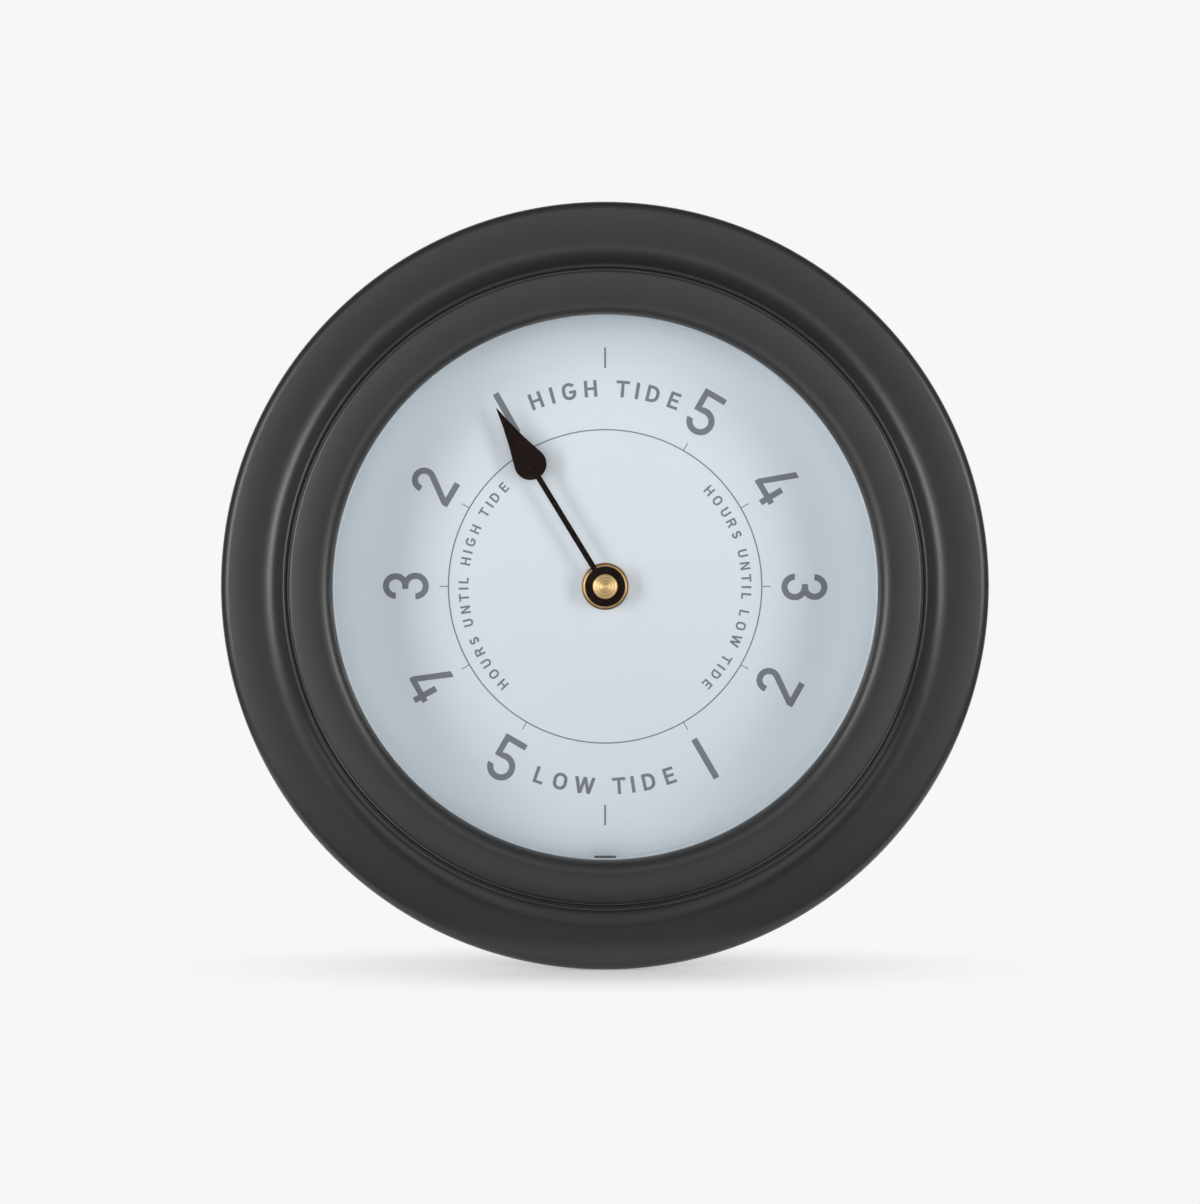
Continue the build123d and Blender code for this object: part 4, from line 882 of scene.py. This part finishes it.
@dataclass
class Dial(SubAssembly):
    """The dial disc and everything printed on it."""

    segments: int = 192
    face_depth: float = 21.2
    back_depth: float = 20.4
    edge_radius: float = 95.2
    hole_radius: float = 4.15
    ink: float = 0.03
    sink: float = 0.01
    chord: float = 10.0
    ring_radius: float = 48.2
    ring_width: float = 0.4
    long_ticks: Triple = (67.2, 73.5, 0.6)
    short_ticks: Triple = (48.3, 50.9, 0.3)
    tide_hours: tuple[int, int] = (0, 6)
    letter_height: float = 4.87
    letter_spread: float = 0.13
    numeral_spread: float = 0.07
    numerals: Legend = Legend(
        "5432154321", (30.0, 59.2, 90.2, 119.6, 149.8, 210.0, 241.1, 270.1, 300.7, 330.4),
        61.3, 14.03, (Tops.OUTWARD,) * 3 + (Tops.INWARD,) * 4 + (Tops.OUTWARD,) * 3, 1.0,
    )
    tides: tuple[Legend, ...] = (
        Legend("HIGHTIDE", (-20.4, -15.5, -10.5, -4.2, 5.1, 9.4, 14.0, 20.4), 60.93, 4.87),
        Legend("LOWTIDE", (199.1, 193.0, 185.9, 176.0, 172.0, 167.4, 161.2), 61.5, 4.87,
               Tops.INWARD),
    )
    hours: tuple[Legend, ...] = (
        Legend(
            "HOURSUNTILHIGHTIDE",
            (226.2, 231.7, 237.1, 242.4, 247.4, 255.1, 260.5, 265.4, 269.1, 272.4,
             280.2, 284.1, 288.3, 293.8, 301.4, 305.3, 308.9, 314.4),
            43.55, 2.9,
        ),
        Legend(
            "HOURSUNTILLOWTIDE",
            (47.4, 52.7, 58.4, 63.4, 68.6, 76.5, 81.7, 86.7, 90.3, 94.0,
             101.0, 106.3, 112.6, 121.0, 124.8, 128.5, 133.8),
            43.5, 2.9,
        ),
    )

    def ink_back(self) -> float:
        """The depth of the ink's back, a hair into the dial's face, so that no ink floats."""
        return self.face_depth - self.sink

    def pen(self, unit: float = MM) -> Pen:
        """A pen at the ink's back."""
        return Pen(Sheet.FRONT, Vector((0.0, -self.ink_back() * MM, 0.0)), unit, self.chord)

    def embolden(self, spread: float) -> None:
        """Spreads the ink of the letter being edited, and keeps its film as thin as it was."""
        film = self.ink * MM
        middle = -self.ink_back() * MM - film / 2
        bpy.ops.transform.shrink_fatten(value=spread, use_even_offset=True)
        bpy.ops.transform.resize(
            value=(1.0, film / (film + 2 * spread), 1.0), center_override=(0.0, middle, 0.0)
        )

    def masters(
        self, shapes: dict[str, Letter], unit: float, tall: float, spread: float
    ) -> dict[str, Piece]:
        """Cuts each letter once, centred on the origin.

        Args:
            shapes: The letters' widths and loops.
            unit: How many metres one unit of the loops is.
            tall: The letters' height in those units.
            spread: How far the ink spreads past the loops, in metres.

        Returns:
            The letters by name.
        """
        made = {}
        for letter, (width, loops) in shapes.items():
            piece = stamped(self.pen(unit), loops, self.ink)
            self.embolden(spread)
            pick(piece)
            piece.location.x -= width / 2 * unit
            piece.location.z -= tall / 2 * unit
            made[letter] = settle(piece, "cut_" + letter)
        return made

    def print_legend(
        self, legend: Legend, masters: dict[str, Piece], master_height: float
    ) -> list[Piece]:
        """Sets copies of the cut letters round the dial.

        Args:
            legend: The run of print.
            masters: The letters cut once.
            master_height: How tall those letters are, in millimetres.

        Returns:
            One copy for each letter.
        """
        tops = legend.tops if isinstance(legend.tops, tuple) else (legend.tops,) * len(legend.text)
        scale = legend.height / master_height
        copies = []
        for letter, degrees, top in zip(legend.text, legend.angles, tops):
            turn = math.radians(degrees)
            copy = duplicate(masters[letter])
            copy.location.x = legend.radius * MM * math.sin(turn)
            copy.location.z = AXIS_Z + legend.radius * MM * math.cos(turn)
            copy.rotation_euler = (0.0, turn + top.value, 0.0)
            copy.scale = (scale * legend.set_width, 1.0, scale)
            copies.append(copy)
        return copies

    def print_ticks(self, name: str, span: Triple, angles: list[float]) -> Piece:
        """Prints strokes that point at the centre.

        Args:
            name: The piece's name.
            span: Inner radius, outer radius and width, in millimetres.
            angles: The clock angle of each, in degrees.

        Returns:
            The strokes as one piece.
        """
        inner, outer, width = span
        loop = ((-width / 2, inner), (-width / 2, outer), (width / 2, outer), (width / 2, inner))
        master = settle(stamped(self.pen(), (loop,), self.ink), name)
        strokes = []
        for degrees in angles:
            stroke = duplicate(master)
            stroke.location.z = AXIS_Z
            stroke.rotation_euler.y = math.radians(degrees)
            strokes.append(stroke)
        bpy.data.objects.remove(master)
        return settle(join(strokes), name)

    def build(self) -> None:
        """Turns the disc and prints it."""
        hole, edge = self.hole_radius, self.edge_radius
        back, face = self.back_depth, self.face_depth
        section = ((hole, back), (edge, back), (edge, face), (hole, face))
        disc = turned("dial_disc", section, self.segments)
        self.keep(disc, DIAL_ENAMEL, FIXED, ("dial",), "dial_face")

        low, high = self.ring_radius - self.ring_width / 2, self.ring_radius + self.ring_width / 2
        back, front = self.ink_back(), self.face_depth + self.ink - self.sink
        section = ((low, back), (high, back), (high, front), (low, front))
        self.keep(turned("print_ring", section, self.segments), DIAL_INK)
        tides = [HOUR * n for n in self.tide_hours]
        self.keep(self.print_ticks("print_tide_strokes", self.long_ticks, tides), DIAL_INK)
        hours = [HOUR * n for n in range(12) if n not in self.tide_hours]
        self.keep(self.print_ticks("print_hour_strokes", self.short_ticks, hours), DIAL_INK)

        height = self.numerals.height
        figures = self.masters(
            NUMERALS, height / NUMERAL_TALL * MM, NUMERAL_TALL, self.numeral_spread * MM
        )
        copies = self.print_legend(self.numerals, figures, height)
        self.keep(settle(join(copies), "print_numerals"), DIAL_INK)
        letters = self.masters(
            LETTERS, self.letter_height * MM, LETTER_TALL, self.letter_spread * MM
        )
        for name, legends in (("print_tides", self.tides), ("print_hours_until", self.hours)):
            copies = []
            for legend in legends:
                copies += self.print_legend(legend, letters, self.letter_height)
            self.keep(settle(join(copies), name), DIAL_INK)
        for master in (*figures.values(), *letters.values()):
            bpy.data.objects.remove(master)


@dataclass
class Hub(SubAssembly):
    """The turned brass that clamps the movement to the dial, and the cap on the hand."""

    segments: int = 96
    washer: Loop = (
        (4.15, 21.2), (7.1, 21.2), (7.2, 21.3), (7.2, 21.7), (7.1, 21.8), (4.15, 21.8),
    )
    nut: Loop = (
        (4.0, 21.8), (6.5, 21.8), (6.65, 21.95), (6.65, 23.05), (6.3, 23.4), (4.2, 23.4),
        (4.0, 23.2),
    )
    slot_turn: float = -41.7
    slot_size: Triple = (1.2, 0.8, 14.0)
    nut_face: float = 23.4
    cap: Loop = (
        (0.0, 26.3), (3.6, 26.3), (3.75, 26.45), (3.75, 27.7), (3.55, 27.9),
        Arc(0.0, 15.5475, 16.05),
    )
    cap_chord: float = 2.0

    def build(self) -> None:
        """Turns the washer, the slotted nut and the cap."""
        washer = turned("hub_washer", self.washer, self.segments)
        # The washer's browner, duller brass is painted shade between the nut and the washer.
        self.keep(washer, SHADED_WASHER_BRASS, FIXED, ("dial_washer",), "brass")
        nut = turned("hub_nut", self.nut, self.segments)
        wide, deep, long = self.slot_size
        slot = block(
            Vector((wide, deep * 2, long)) * MM,
            Vector((0.0, -self.nut_face * MM, AXIS_Z)),
            math.radians(self.slot_turn),
        )
        carve(nut, slot)
        settle(nut, "hub_nut")
        self.keep(nut, TURNED_BRASS, FIXED, ("bushing_nut",), "brass")
        cap = turned("hand_cap", self.cap, self.segments, closed=False, chord=self.cap_chord)
        self.keep(cap, TURNED_BRASS, "tide_hand", ("cap_nut",), "brass")


@dataclass
class TideHand(SubAssembly):
    """The stamped, enamelled hand and its boss."""

    turn: float = -31.4
    back: float = 25.2
    thickness: float = 0.6
    stem: float = 0.875
    root: float = 5.4
    bulb_centre: float = 44.0
    bulb_sweep: float = 98.67
    bulb_start: float = 39.128
    shoulder: Point = (4.68, 45.6)
    flank_centre: Point = (121.74, 84.49)
    flank_sweep: float = -8.77
    tip: Point = (0.12, 63.9)
    boss: Loop = (
        (2.6, 24.9), (6.0, 24.9), (6.15, 25.05), (6.15, 25.9), (5.95, 26.1), (2.6, 26.1),
    )
    segments: int = 96
    chord: float = 3.0
    edge: float = 0.07
    edge_bend: float = 60.0

    def blade(self) -> Piece:
        """Cuts the blade pointing at twelve and turns it to where the hand stands."""
        cx, cy = self.flank_centre
        outline = (
            (self.stem, self.root),
            (self.stem, self.bulb_start),
            Arc(0.0, self.bulb_centre, self.bulb_sweep),
            self.shoulder,
            Arc(cx, cy, self.flank_sweep),
            self.tip,
            (-self.tip[0], self.tip[1]),
            Arc(-cx, cy, self.flank_sweep),
            (-self.shoulder[0], self.shoulder[1]),
            Arc(0.0, self.bulb_centre, self.bulb_sweep),
            (-self.stem, self.bulb_start),
            (-self.stem, self.root),
        )
        pen = Pen(Sheet.FRONT, Vector((0.0, -self.back * MM, 0.0)), chord=self.chord)
        blade = pen.draw((outline,))
        bpy.ops.mesh.edge_face_add()
        thicken(self.thickness)
        settle(blade, "tide_hand_blade")
        apply_modifier(
            blade, "BEVEL", width=self.edge * MM, segments=EDGE_FACES, limit_method="ANGLE",
            angle_limit=math.radians(self.edge_bend),
        )
        blade.rotation_euler.y = math.radians(self.turn)
        blade.location.z = AXIS_Z
        return settle(blade, "tide_hand_blade")

    def build(self) -> None:
        """Welds the blade to its boss."""
        hand = turned("tide_hand_stamped", self.boss, self.segments)
        carve(hand, self.blade(), Operation.WELD)
        settle(hand, "tide_hand_stamped")
        # The hand's brown patches are a painted sheen on its almost black enamel.
        self.keep(hand, HAND_ENAMEL_AND_SHEEN, "tide_hand", ("tide_hand",), "hand_enamel")


@dataclass
class BackFurniture(SubAssembly):
    """What shows from behind: mouldings, lugs, plates and the movement's case."""

    edge: float = 0.22
    flat_bend: float = 0.5
    edge_bend: float = 50.0
    smooth: float = 35.0
    copies: tuple[tuple[str, str, Finish, str, str], ...] = (
        ("dial_carrier", "carrier_moulding", BLACK_STYRENE, FIXED, "black_moulding"),
        ("fixing_lugs", "steel_lugs", BRIGHT_ZINC, FIXED, "zinc_plate"),
        ("fixing_screws", "lug_screws", BRIGHT_ZINC, FIXED, "zinc_plate"),
        ("hanger_plate", "hanger_pressing", BRIGHT_ZINC, FIXED, "zinc_plate"),
        ("movement_front_case", "movement_front_moulding", BLACK_ABS, FIXED, "movement_case"),
        ("movement_rear_case", "movement_rear_moulding", BLACK_ABS, FIXED, "movement_case"),
        ("setting_knob", "setting_knob_moulding", BLACK_STYRENE, "setting_knob",
         "black_moulding"),
    )

    def softened(self, node: str, name: str) -> Piece:
        """Copies a CAD node, merges its triangles and breaks its sharp edges.

        Args:
            node: The CAD node.
            name: The new piece's name.

        Returns:
            The copy, free of the frame.
        """
        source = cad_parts[node]
        piece = bpy.data.objects.new(name, source.data.copy())
        bpy.context.scene.collection.objects.link(piece)
        pick(piece)
        bpy.ops.object.mode_set(mode="EDIT")
        weld_outward()
        bpy.ops.mesh.dissolve_limited(angle_limit=math.radians(self.flat_bend))
        settle(piece, name)
        apply_modifier(
            piece, "BEVEL", width=self.edge * MM, segments=EDGE_FACES, limit_method="ANGLE",
            angle_limit=math.radians(self.edge_bend), use_clamp_overlap=True,
        )
        return settle(piece, name, self.smooth)

    def build(self) -> None:
        """Makes each softened copy."""
        for node, name, finish, body, slot in self.copies:
            self.keep(self.softened(node, name), finish, body, (node,), slot)


@dataclass
class DryCell(SubAssembly):
    """The battery: a steel can in a plain sleeve, turned about its own long axis."""

    middle: Triple = (0.0, -8.8, -119.1)
    segments: int = 64
    can: Loop = (
        (0.0, -25.25), (4.6, -25.25), (4.8, -25.05), (6.3, -25.05), (6.75, -24.6),
        (6.75, 23.2), (6.3, 23.65), (4.4, 23.65), (4.2, 23.95), (3.1, 23.95), (2.75, 24.2),
        (2.75, 24.95), (2.45, 25.25), (0.0, 25.25),
    )
    sleeve: Loop = (
        (6.3, -24.85), (6.9, -24.85), (7.1, -24.6), (7.1, 23.3), (6.85, 23.65),
        (5.6, 23.75), (5.5, 23.6), (6.6, 23.3), (6.7, 23.1), (6.7, -24.5), (6.3, -24.75),
    )

    def turned_on_side(self, name: str, loop: Loop, closed: bool) -> Piece:
        """Turns a section about the cell's axis."""
        middle = Vector(self.middle) * MM
        piece = Pen(Sheet.BARREL, middle).draw((loop,), closed)
        bpy.ops.mesh.spin(
            steps=self.segments, angle=FULL_TURN, center=middle, axis=(1.0, 0.0, 0.0)
        )
        weld_outward()
        return settle(piece, name)

    def build(self) -> None:
        """Turns the can and its sleeve."""
        sleeve = self.turned_on_side("cell_sleeve", self.sleeve, True)
        self.keep(sleeve, CELL_SLEEVE, "battery", ("battery",), "battery_sleeve")
        can = self.turned_on_side("cell_can", self.can, False)
        self.keep(can, NICKEL_CAN, "battery")


@dataclass
class RearMarks(SubAssembly):
    """Plain raised signs on the movement's back: plus, minus and the way the knob sets."""

    face: float = 1.4
    rise: float = 0.4
    root: float = 0.05
    chord: float = 6.0
    stroke: float = 0.7
    sign_size: float = 3.6
    sign_at: Point = (24.0, -108.6)
    knob_centre: Point = (12.29, -94.91)
    arrow_radius: float = 8.6
    arrow_sweep: float = 100.0
    arrow_from: float = 40.0
    barb: float = 1.3
    nose: float = 2.2

    def raised(self, loop: Loop) -> Piece:
        """Cuts a sign that stands backwards off the movement's rear face and is rooted in it."""
        foot = Vector((0.0, -(self.face + self.root) * MM, 0.0))
        pen = Pen(Sheet.FRONT, foot, chord=self.chord)
        return settle(stamped(pen, (loop,), -(self.rise + self.root)), "sign")

    def build(self) -> None:
        """Raises the two signs and the arrow."""
        x, z = self.sign_at
        s, h = self.sign_size / 2, self.stroke / 2
        plus = (
            (x - s, z - h), (x - h, z - h), (x - h, z - s), (x + h, z - s), (x + h, z - h),
            (x + s, z - h), (x + s, z + h), (x + h, z + h), (x + h, z + s), (x - h, z + s),
            (x - h, z + h), (x - s, z + h),
        )
        minus = ((-x - s, z - h), (-x + s, z - h), (-x + s, z + h), (-x - s, z + h))
        signs = [self.raised(loop) for loop in (plus, minus, self.arrow())]
        self.keep(settle(join(signs), "movement_signs"), BLACK_ABS)

    def arrow(self) -> Loop:
        """A curved arrow round the knob, its nose some barbs long."""
        cx, cz = self.knob_centre
        inner, outer = self.arrow_radius - self.stroke / 2, self.arrow_radius + self.stroke / 2
        first = math.radians(self.arrow_from)
        last = math.radians(self.arrow_from + self.arrow_sweep)
        nose = last + self.nose * self.barb / self.arrow_radius

        def on(radius: float, angle: float) -> Point:
            """A point round the knob."""
            return (cx + radius * math.cos(angle), cz + radius * math.sin(angle))

        return (
            on(outer, first),
            Arc(cx, cz, self.arrow_sweep),
            on(self.arrow_radius + self.barb, last),
            on(self.arrow_radius, nose),
            on(self.arrow_radius - self.barb, last),
            on(inner, last),
            Arc(cx, cz, -self.arrow_sweep),
        )


@dataclass
class InnerWorks(SubAssembly):
    """The solids shut inside the clock, which keep their CAD shape."""

    def build(self) -> None:
        """Gives each its real finish."""
        for finish, nodes in INNER_FINISHES.items():
            for node in nodes:
                self.dress(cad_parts[node], finish)


@dataclass
class Studio:
    """The floor, the lamps and the camera of the picture, with its places in metres."""

    backdrop: str = "#F8F6F7"
    # What lights matt surfaces: its level in the middle of a cone in front of the dial and
    # beside it, where the cone ends, and how much more comes from above than from below.
    ambient_front: float = 3.8
    ambient_side: float = 0.14
    ambient_cone: float = -0.9
    ambient_tilt: Triple = (0.0, 0.0, 0.04)
    # The paper under the clock, the glow that lifts its shadow, and how far out in front it
    # has turned into the backdrop. To the sides it takes a longer way.
    floor_z: float = -0.2201
    floor_size: float = 0.5
    floor_lift: float = 0.355
    fade_reach: float = 0.068
    fade_shape: Triple = (0.45, 1.0, 0.0)
    camera_at: Triple = (-0.004, -1.0374, -0.086)
    lens: float = 98.7
    sensor: float = 36.0
    shift: Pair = (0.00656, -0.0508)
    sight: Pair = (0.05, 50.0)
    # The black cloth's dome, its level, the pale ring in it, and the apron on the table as
    # its width, its near edge and its far one.
    flag_radius: float = 2.6
    flag_faces: tuple[int, int] = (48, 24)
    flag_back: float = 1.6
    flag_level: float = 0.02
    flag_ring: float = 0.8
    flag_ring_end: float = -0.62
    apron: Triple = (1.8, -0.95, -0.03)
    # The softboxes: two at the sides, one above and a matt one behind, all aimed at the dial.
    aim: Triple = (0.0, -0.03, AXIS_Z)
    side_angle: float = 52.0
    side_distance: float = 1.15
    side_size: Pair = (0.36, 1.1)
    side_watts: Pair = (8.4, 7.0)
    top_at: Triple = (0.0, -0.7, 0.85)
    top_size: Pair = (1.5, 0.7)
    top_watts: float = 0.5
    back_at: Triple = (0.0, 1.1, -0.05)
    back_size: Pair = (1.2, 0.9)
    back_watts: float = 9.0

    def world(self) -> None:
        """A pale surround for what the camera, gloss and glass see, and a soft ambient light."""
        world = bpy.data.worlds.new("plain_studio")
        bpy.context.scene.world = world
        tree = bare_tree(world)
        seen = self.seen_directly(tree)
        shown = add_node(tree, "Background", {"Color": linear(self.backdrop), "Strength": 1.0})
        place = add_node(tree, "TexCoord")
        way = add_node(tree, "SeparateXYZ", links={0: place.outputs["Generated"]})
        # Straight in front of the dial the way's Y is -1, and the cone ends at ambient_cone.
        level = add_node(
            tree, "MapRange",
            {1: -1.0, 2: self.ambient_cone, 3: self.ambient_front, 4: self.ambient_side},
            {0: way.outputs["Y"]},
        )
        tilt = add_node(
            tree, "VectorMath", {"operation": "DOT_PRODUCT", 1: self.ambient_tilt},
            {0: place.outputs["Generated"]},
        )
        tilted = add_node(
            tree, "Math", {"operation": "ADD"}, {0: tilt.outputs["Value"], 1: level.outputs[0]}
        )
        ambient = add_node(
            tree, "Background", {"Color": linear(WHITE)}, {"Strength": tilted.outputs[0]}
        )
        mix = add_node(
            tree, "MixShader", links={0: seen, 1: ambient.outputs[0], 2: shown.outputs[0]}
        )
        add_node(tree, "OutputWorld", links={"Surface": mix.outputs[0]})

    def seen_directly(self, tree: Tree) -> Socket:
        """One where a camera, glossy or transmission ray looks, and zero otherwise."""
        path = add_node(tree, "LightPath")
        gloss = add_node(
            tree, "Math", {"operation": "MAXIMUM"},
            {0: path.outputs["Is Camera Ray"], 1: path.outputs["Is Glossy Ray"]},
        )
        clear = add_node(
            tree, "Math", {"operation": "MAXIMUM"},
            {0: gloss.outputs[0], 1: path.outputs["Is Transmission Ray"]},
        )
        return clear.outputs[0]

    def floor(self) -> None:
        """A pale floor that keeps the contact shadow and runs out into the backdrop."""
        pick()
        bpy.ops.mesh.primitive_plane_add(size=self.floor_size, location=(0.0, 0.0, self.floor_z))
        bpy.ops.object.transform_apply()
        plane = bpy.context.object
        plane.name = "studio_floor"
        made = bpy.data.materials.new("pale_paper_floor")
        tree = bare_tree(made)
        place = add_node(tree, "TexCoord")
        flat = add_node(
            tree, "Mapping", {"Scale": self.fade_shape}, {"Vector": place.outputs["Object"]}
        )
        reach = add_node(tree, "VectorMath", {"operation": "LENGTH"}, {0: flat.outputs[0]})
        fade = add_node(
            tree, "MapRange",
            {"interpolation_type": "SMOOTHSTEP", 1: 0.0, 2: self.fade_reach, 3: 0.0, 4: 1.0},
            {0: reach.outputs["Value"]},
        )
        paper = add_node(tree, "BsdfDiffuse", {"Color": linear(self.backdrop)})
        glow = add_node(tree, "Emission", {"Color": linear(self.backdrop), "Strength": 1.0})
        seen = self.seen_directly(tree)
        raised = add_node(tree, "Math", {"operation": "MULTIPLY", 0: self.floor_lift}, {1: seen})
        lift = add_node(
            tree, "Emission", {"Color": linear(self.backdrop)}, {"Strength": raised.outputs[0]}
        )
        lit = add_node(tree, "AddShader", links={0: paper.outputs[0], 1: lift.outputs[0]})
        amount = add_node(tree, "Math", {"operation": "MULTIPLY"}, {0: fade.outputs[0], 1: seen})
        mix = add_node(
            tree, "MixShader", links={0: amount.outputs[0], 1: lit.outputs[0], 2: glow.outputs[0]}
        )
        add_node(tree, "OutputMaterial", links={"Surface": mix.outputs[0]})
        plane.data.materials.append(made)
        plane.visible_diffuse = False

    def flags(self) -> None:
        """Black cloth round the set and on its table, open behind, with a pale ring in it.

        Gloss and glass see it, and nothing else does. The ring stands round the camera and
        is what the turned brass shines with.
        """
        around, upward = self.flag_faces
        pick()
        bpy.ops.mesh.primitive_uv_sphere_add(
            segments=around, ring_count=upward, radius=self.flag_radius,
            location=(0.0, 0.0, AXIS_Z),
        )
        bpy.ops.object.transform_apply()
        cloth = bpy.context.object
        cloth.name = "studio_flags"
        bpy.ops.object.mode_set(mode="EDIT")
        bpy.ops.mesh.select_all(action="SELECT")
        bpy.ops.mesh.bisect(
            plane_co=(0.0, self.flag_back, 0.0), plane_no=(0.0, 1.0, 0.0), clear_outer=True
        )
        bpy.ops.mesh.primitive_plane_add(size=1.0, location=(0.0, 0.0, self.floor_z + MM))
        wide, near, far = self.apron
        bpy.ops.transform.resize(value=(wide, far - near, 1.0))
        bpy.ops.transform.translate(value=(0.0, (near + far) / 2, 0.0))
        bpy.ops.object.mode_set(mode="OBJECT")
        made = bpy.data.materials.new("black_flag_cloth")
        tree = bare_tree(made)
        place = add_node(tree, "TexCoord")
        centred = add_node(
            tree, "Mapping", {"Location": (0.0, 0.0, -AXIS_Z)}, {"Vector": place.outputs["Object"]}
        )
        away = add_node(tree, "VectorMath", {"operation": "NORMALIZE"}, {0: centred.outputs[0]})
        way = add_node(tree, "SeparateXYZ", links={0: away.outputs[0]})
        # The level runs from 0 at the camera to 2 at the ring's end, and folds at 1.
        level = add_node(
            tree, "MapRange", {1: -1.0, 2: self.flag_ring_end, 3: 0.0, 4: 2.0},
            {0: way.outputs["Y"]},
        )
        ring = add_node(tree, "Math", {"operation": "PINGPONG", 1: 1.0}, {0: level.outputs[0]})
        strength = add_node(
            tree, "Math", {"operation": "MULTIPLY_ADD", 1: self.flag_ring, 2: self.flag_level},
            {0: ring.outputs[0]},
        )
        grey = add_node(
            tree, "Emission", {"Color": linear(WHITE)}, {"Strength": strength.outputs[0]}
        )
        add_node(tree, "OutputMaterial", links={"Surface": grey.outputs[0]})
        cloth.data.materials.append(made)
        cloth.visible_camera = False
        cloth.visible_diffuse = False
        cloth.visible_shadow = False

    def lamp(self, name: str, at: Triple, size: Pair, watts: float, shines: bool = True) -> None:
        """Hangs a softbox that faces the clock.

        Args:
            name: The lamp's name.
            at: Where its middle is.
            size: Its width and height.
            watts: Its power.
            shines: Whether gloss shows it too, besides the light it gives matt surfaces.
        """
        data = bpy.data.lights.new(name, "AREA")
        data.shape = "RECTANGLE"
        data.size, data.size_y = size
        data.energy = watts
        lamp = bpy.data.objects.new(name, data)
        lamp.location = at
        way = Vector(self.aim) - Vector(at)
        lamp.rotation_euler = way.to_track_quat("-Z", "Y").to_euler()
        lamp.visible_camera = False
        lamp.visible_glossy = shines
        bpy.context.scene.collection.objects.link(lamp)

    def camera(self) -> None:
        """The picture's camera: level and square to the dial, a little above its middle."""
        data = bpy.data.cameras.new("picture_camera")
        data.lens = self.lens
        data.sensor_width = self.sensor
        data.shift_x, data.shift_y = self.shift
        data.clip_start, data.clip_end = self.sight
        camera = bpy.data.objects.new("picture_camera", data)
        camera.location = self.camera_at
        camera.rotation_euler = (math.radians(90.0), 0.0, 0.0)
        bpy.context.scene.collection.objects.link(camera)
        bpy.context.scene.camera = camera

    def build(self) -> None:
        """Sets up everything round the clock."""
        self.world()
        self.floor()
        self.flags()
        angle = math.radians(self.side_angle)
        sides = (("softbox_left", -1.0), ("softbox_right", 1.0))
        for (name, side), watts in zip(sides, self.side_watts):
            toward = Vector((side * math.sin(angle), -math.cos(angle), 0.0))
            at = Vector((0.0, 0.0, AXIS_Z)) + toward * self.side_distance
            self.lamp(name, tuple(at), self.side_size, watts)
        self.lamp("softbox_top", self.top_at, self.top_size, self.top_watts)
        self.lamp("softbox_back", self.back_at, self.back_size, self.back_watts, shines=False)
        self.camera()
        bpy.context.scene.view_settings.view_transform = "Standard"


def main() -> None:
    """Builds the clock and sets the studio."""
    logging.basicConfig(level=logging.INFO, format="%(name)s: %(message)s")
    for part in (
        SteelCase(), Glazing(), Dial(), Hub(), TideHand(), BackFurniture(), DryCell(),
        RearMarks(), InnerWorks(),
    ):
        part.build()
        for piece in part.pieces:
            log.info("%s: %s, %d faces", type(part).__name__, piece.name, len(piece.data.polygons))
    Studio().build()


if __name__ == "__main__":
    main()
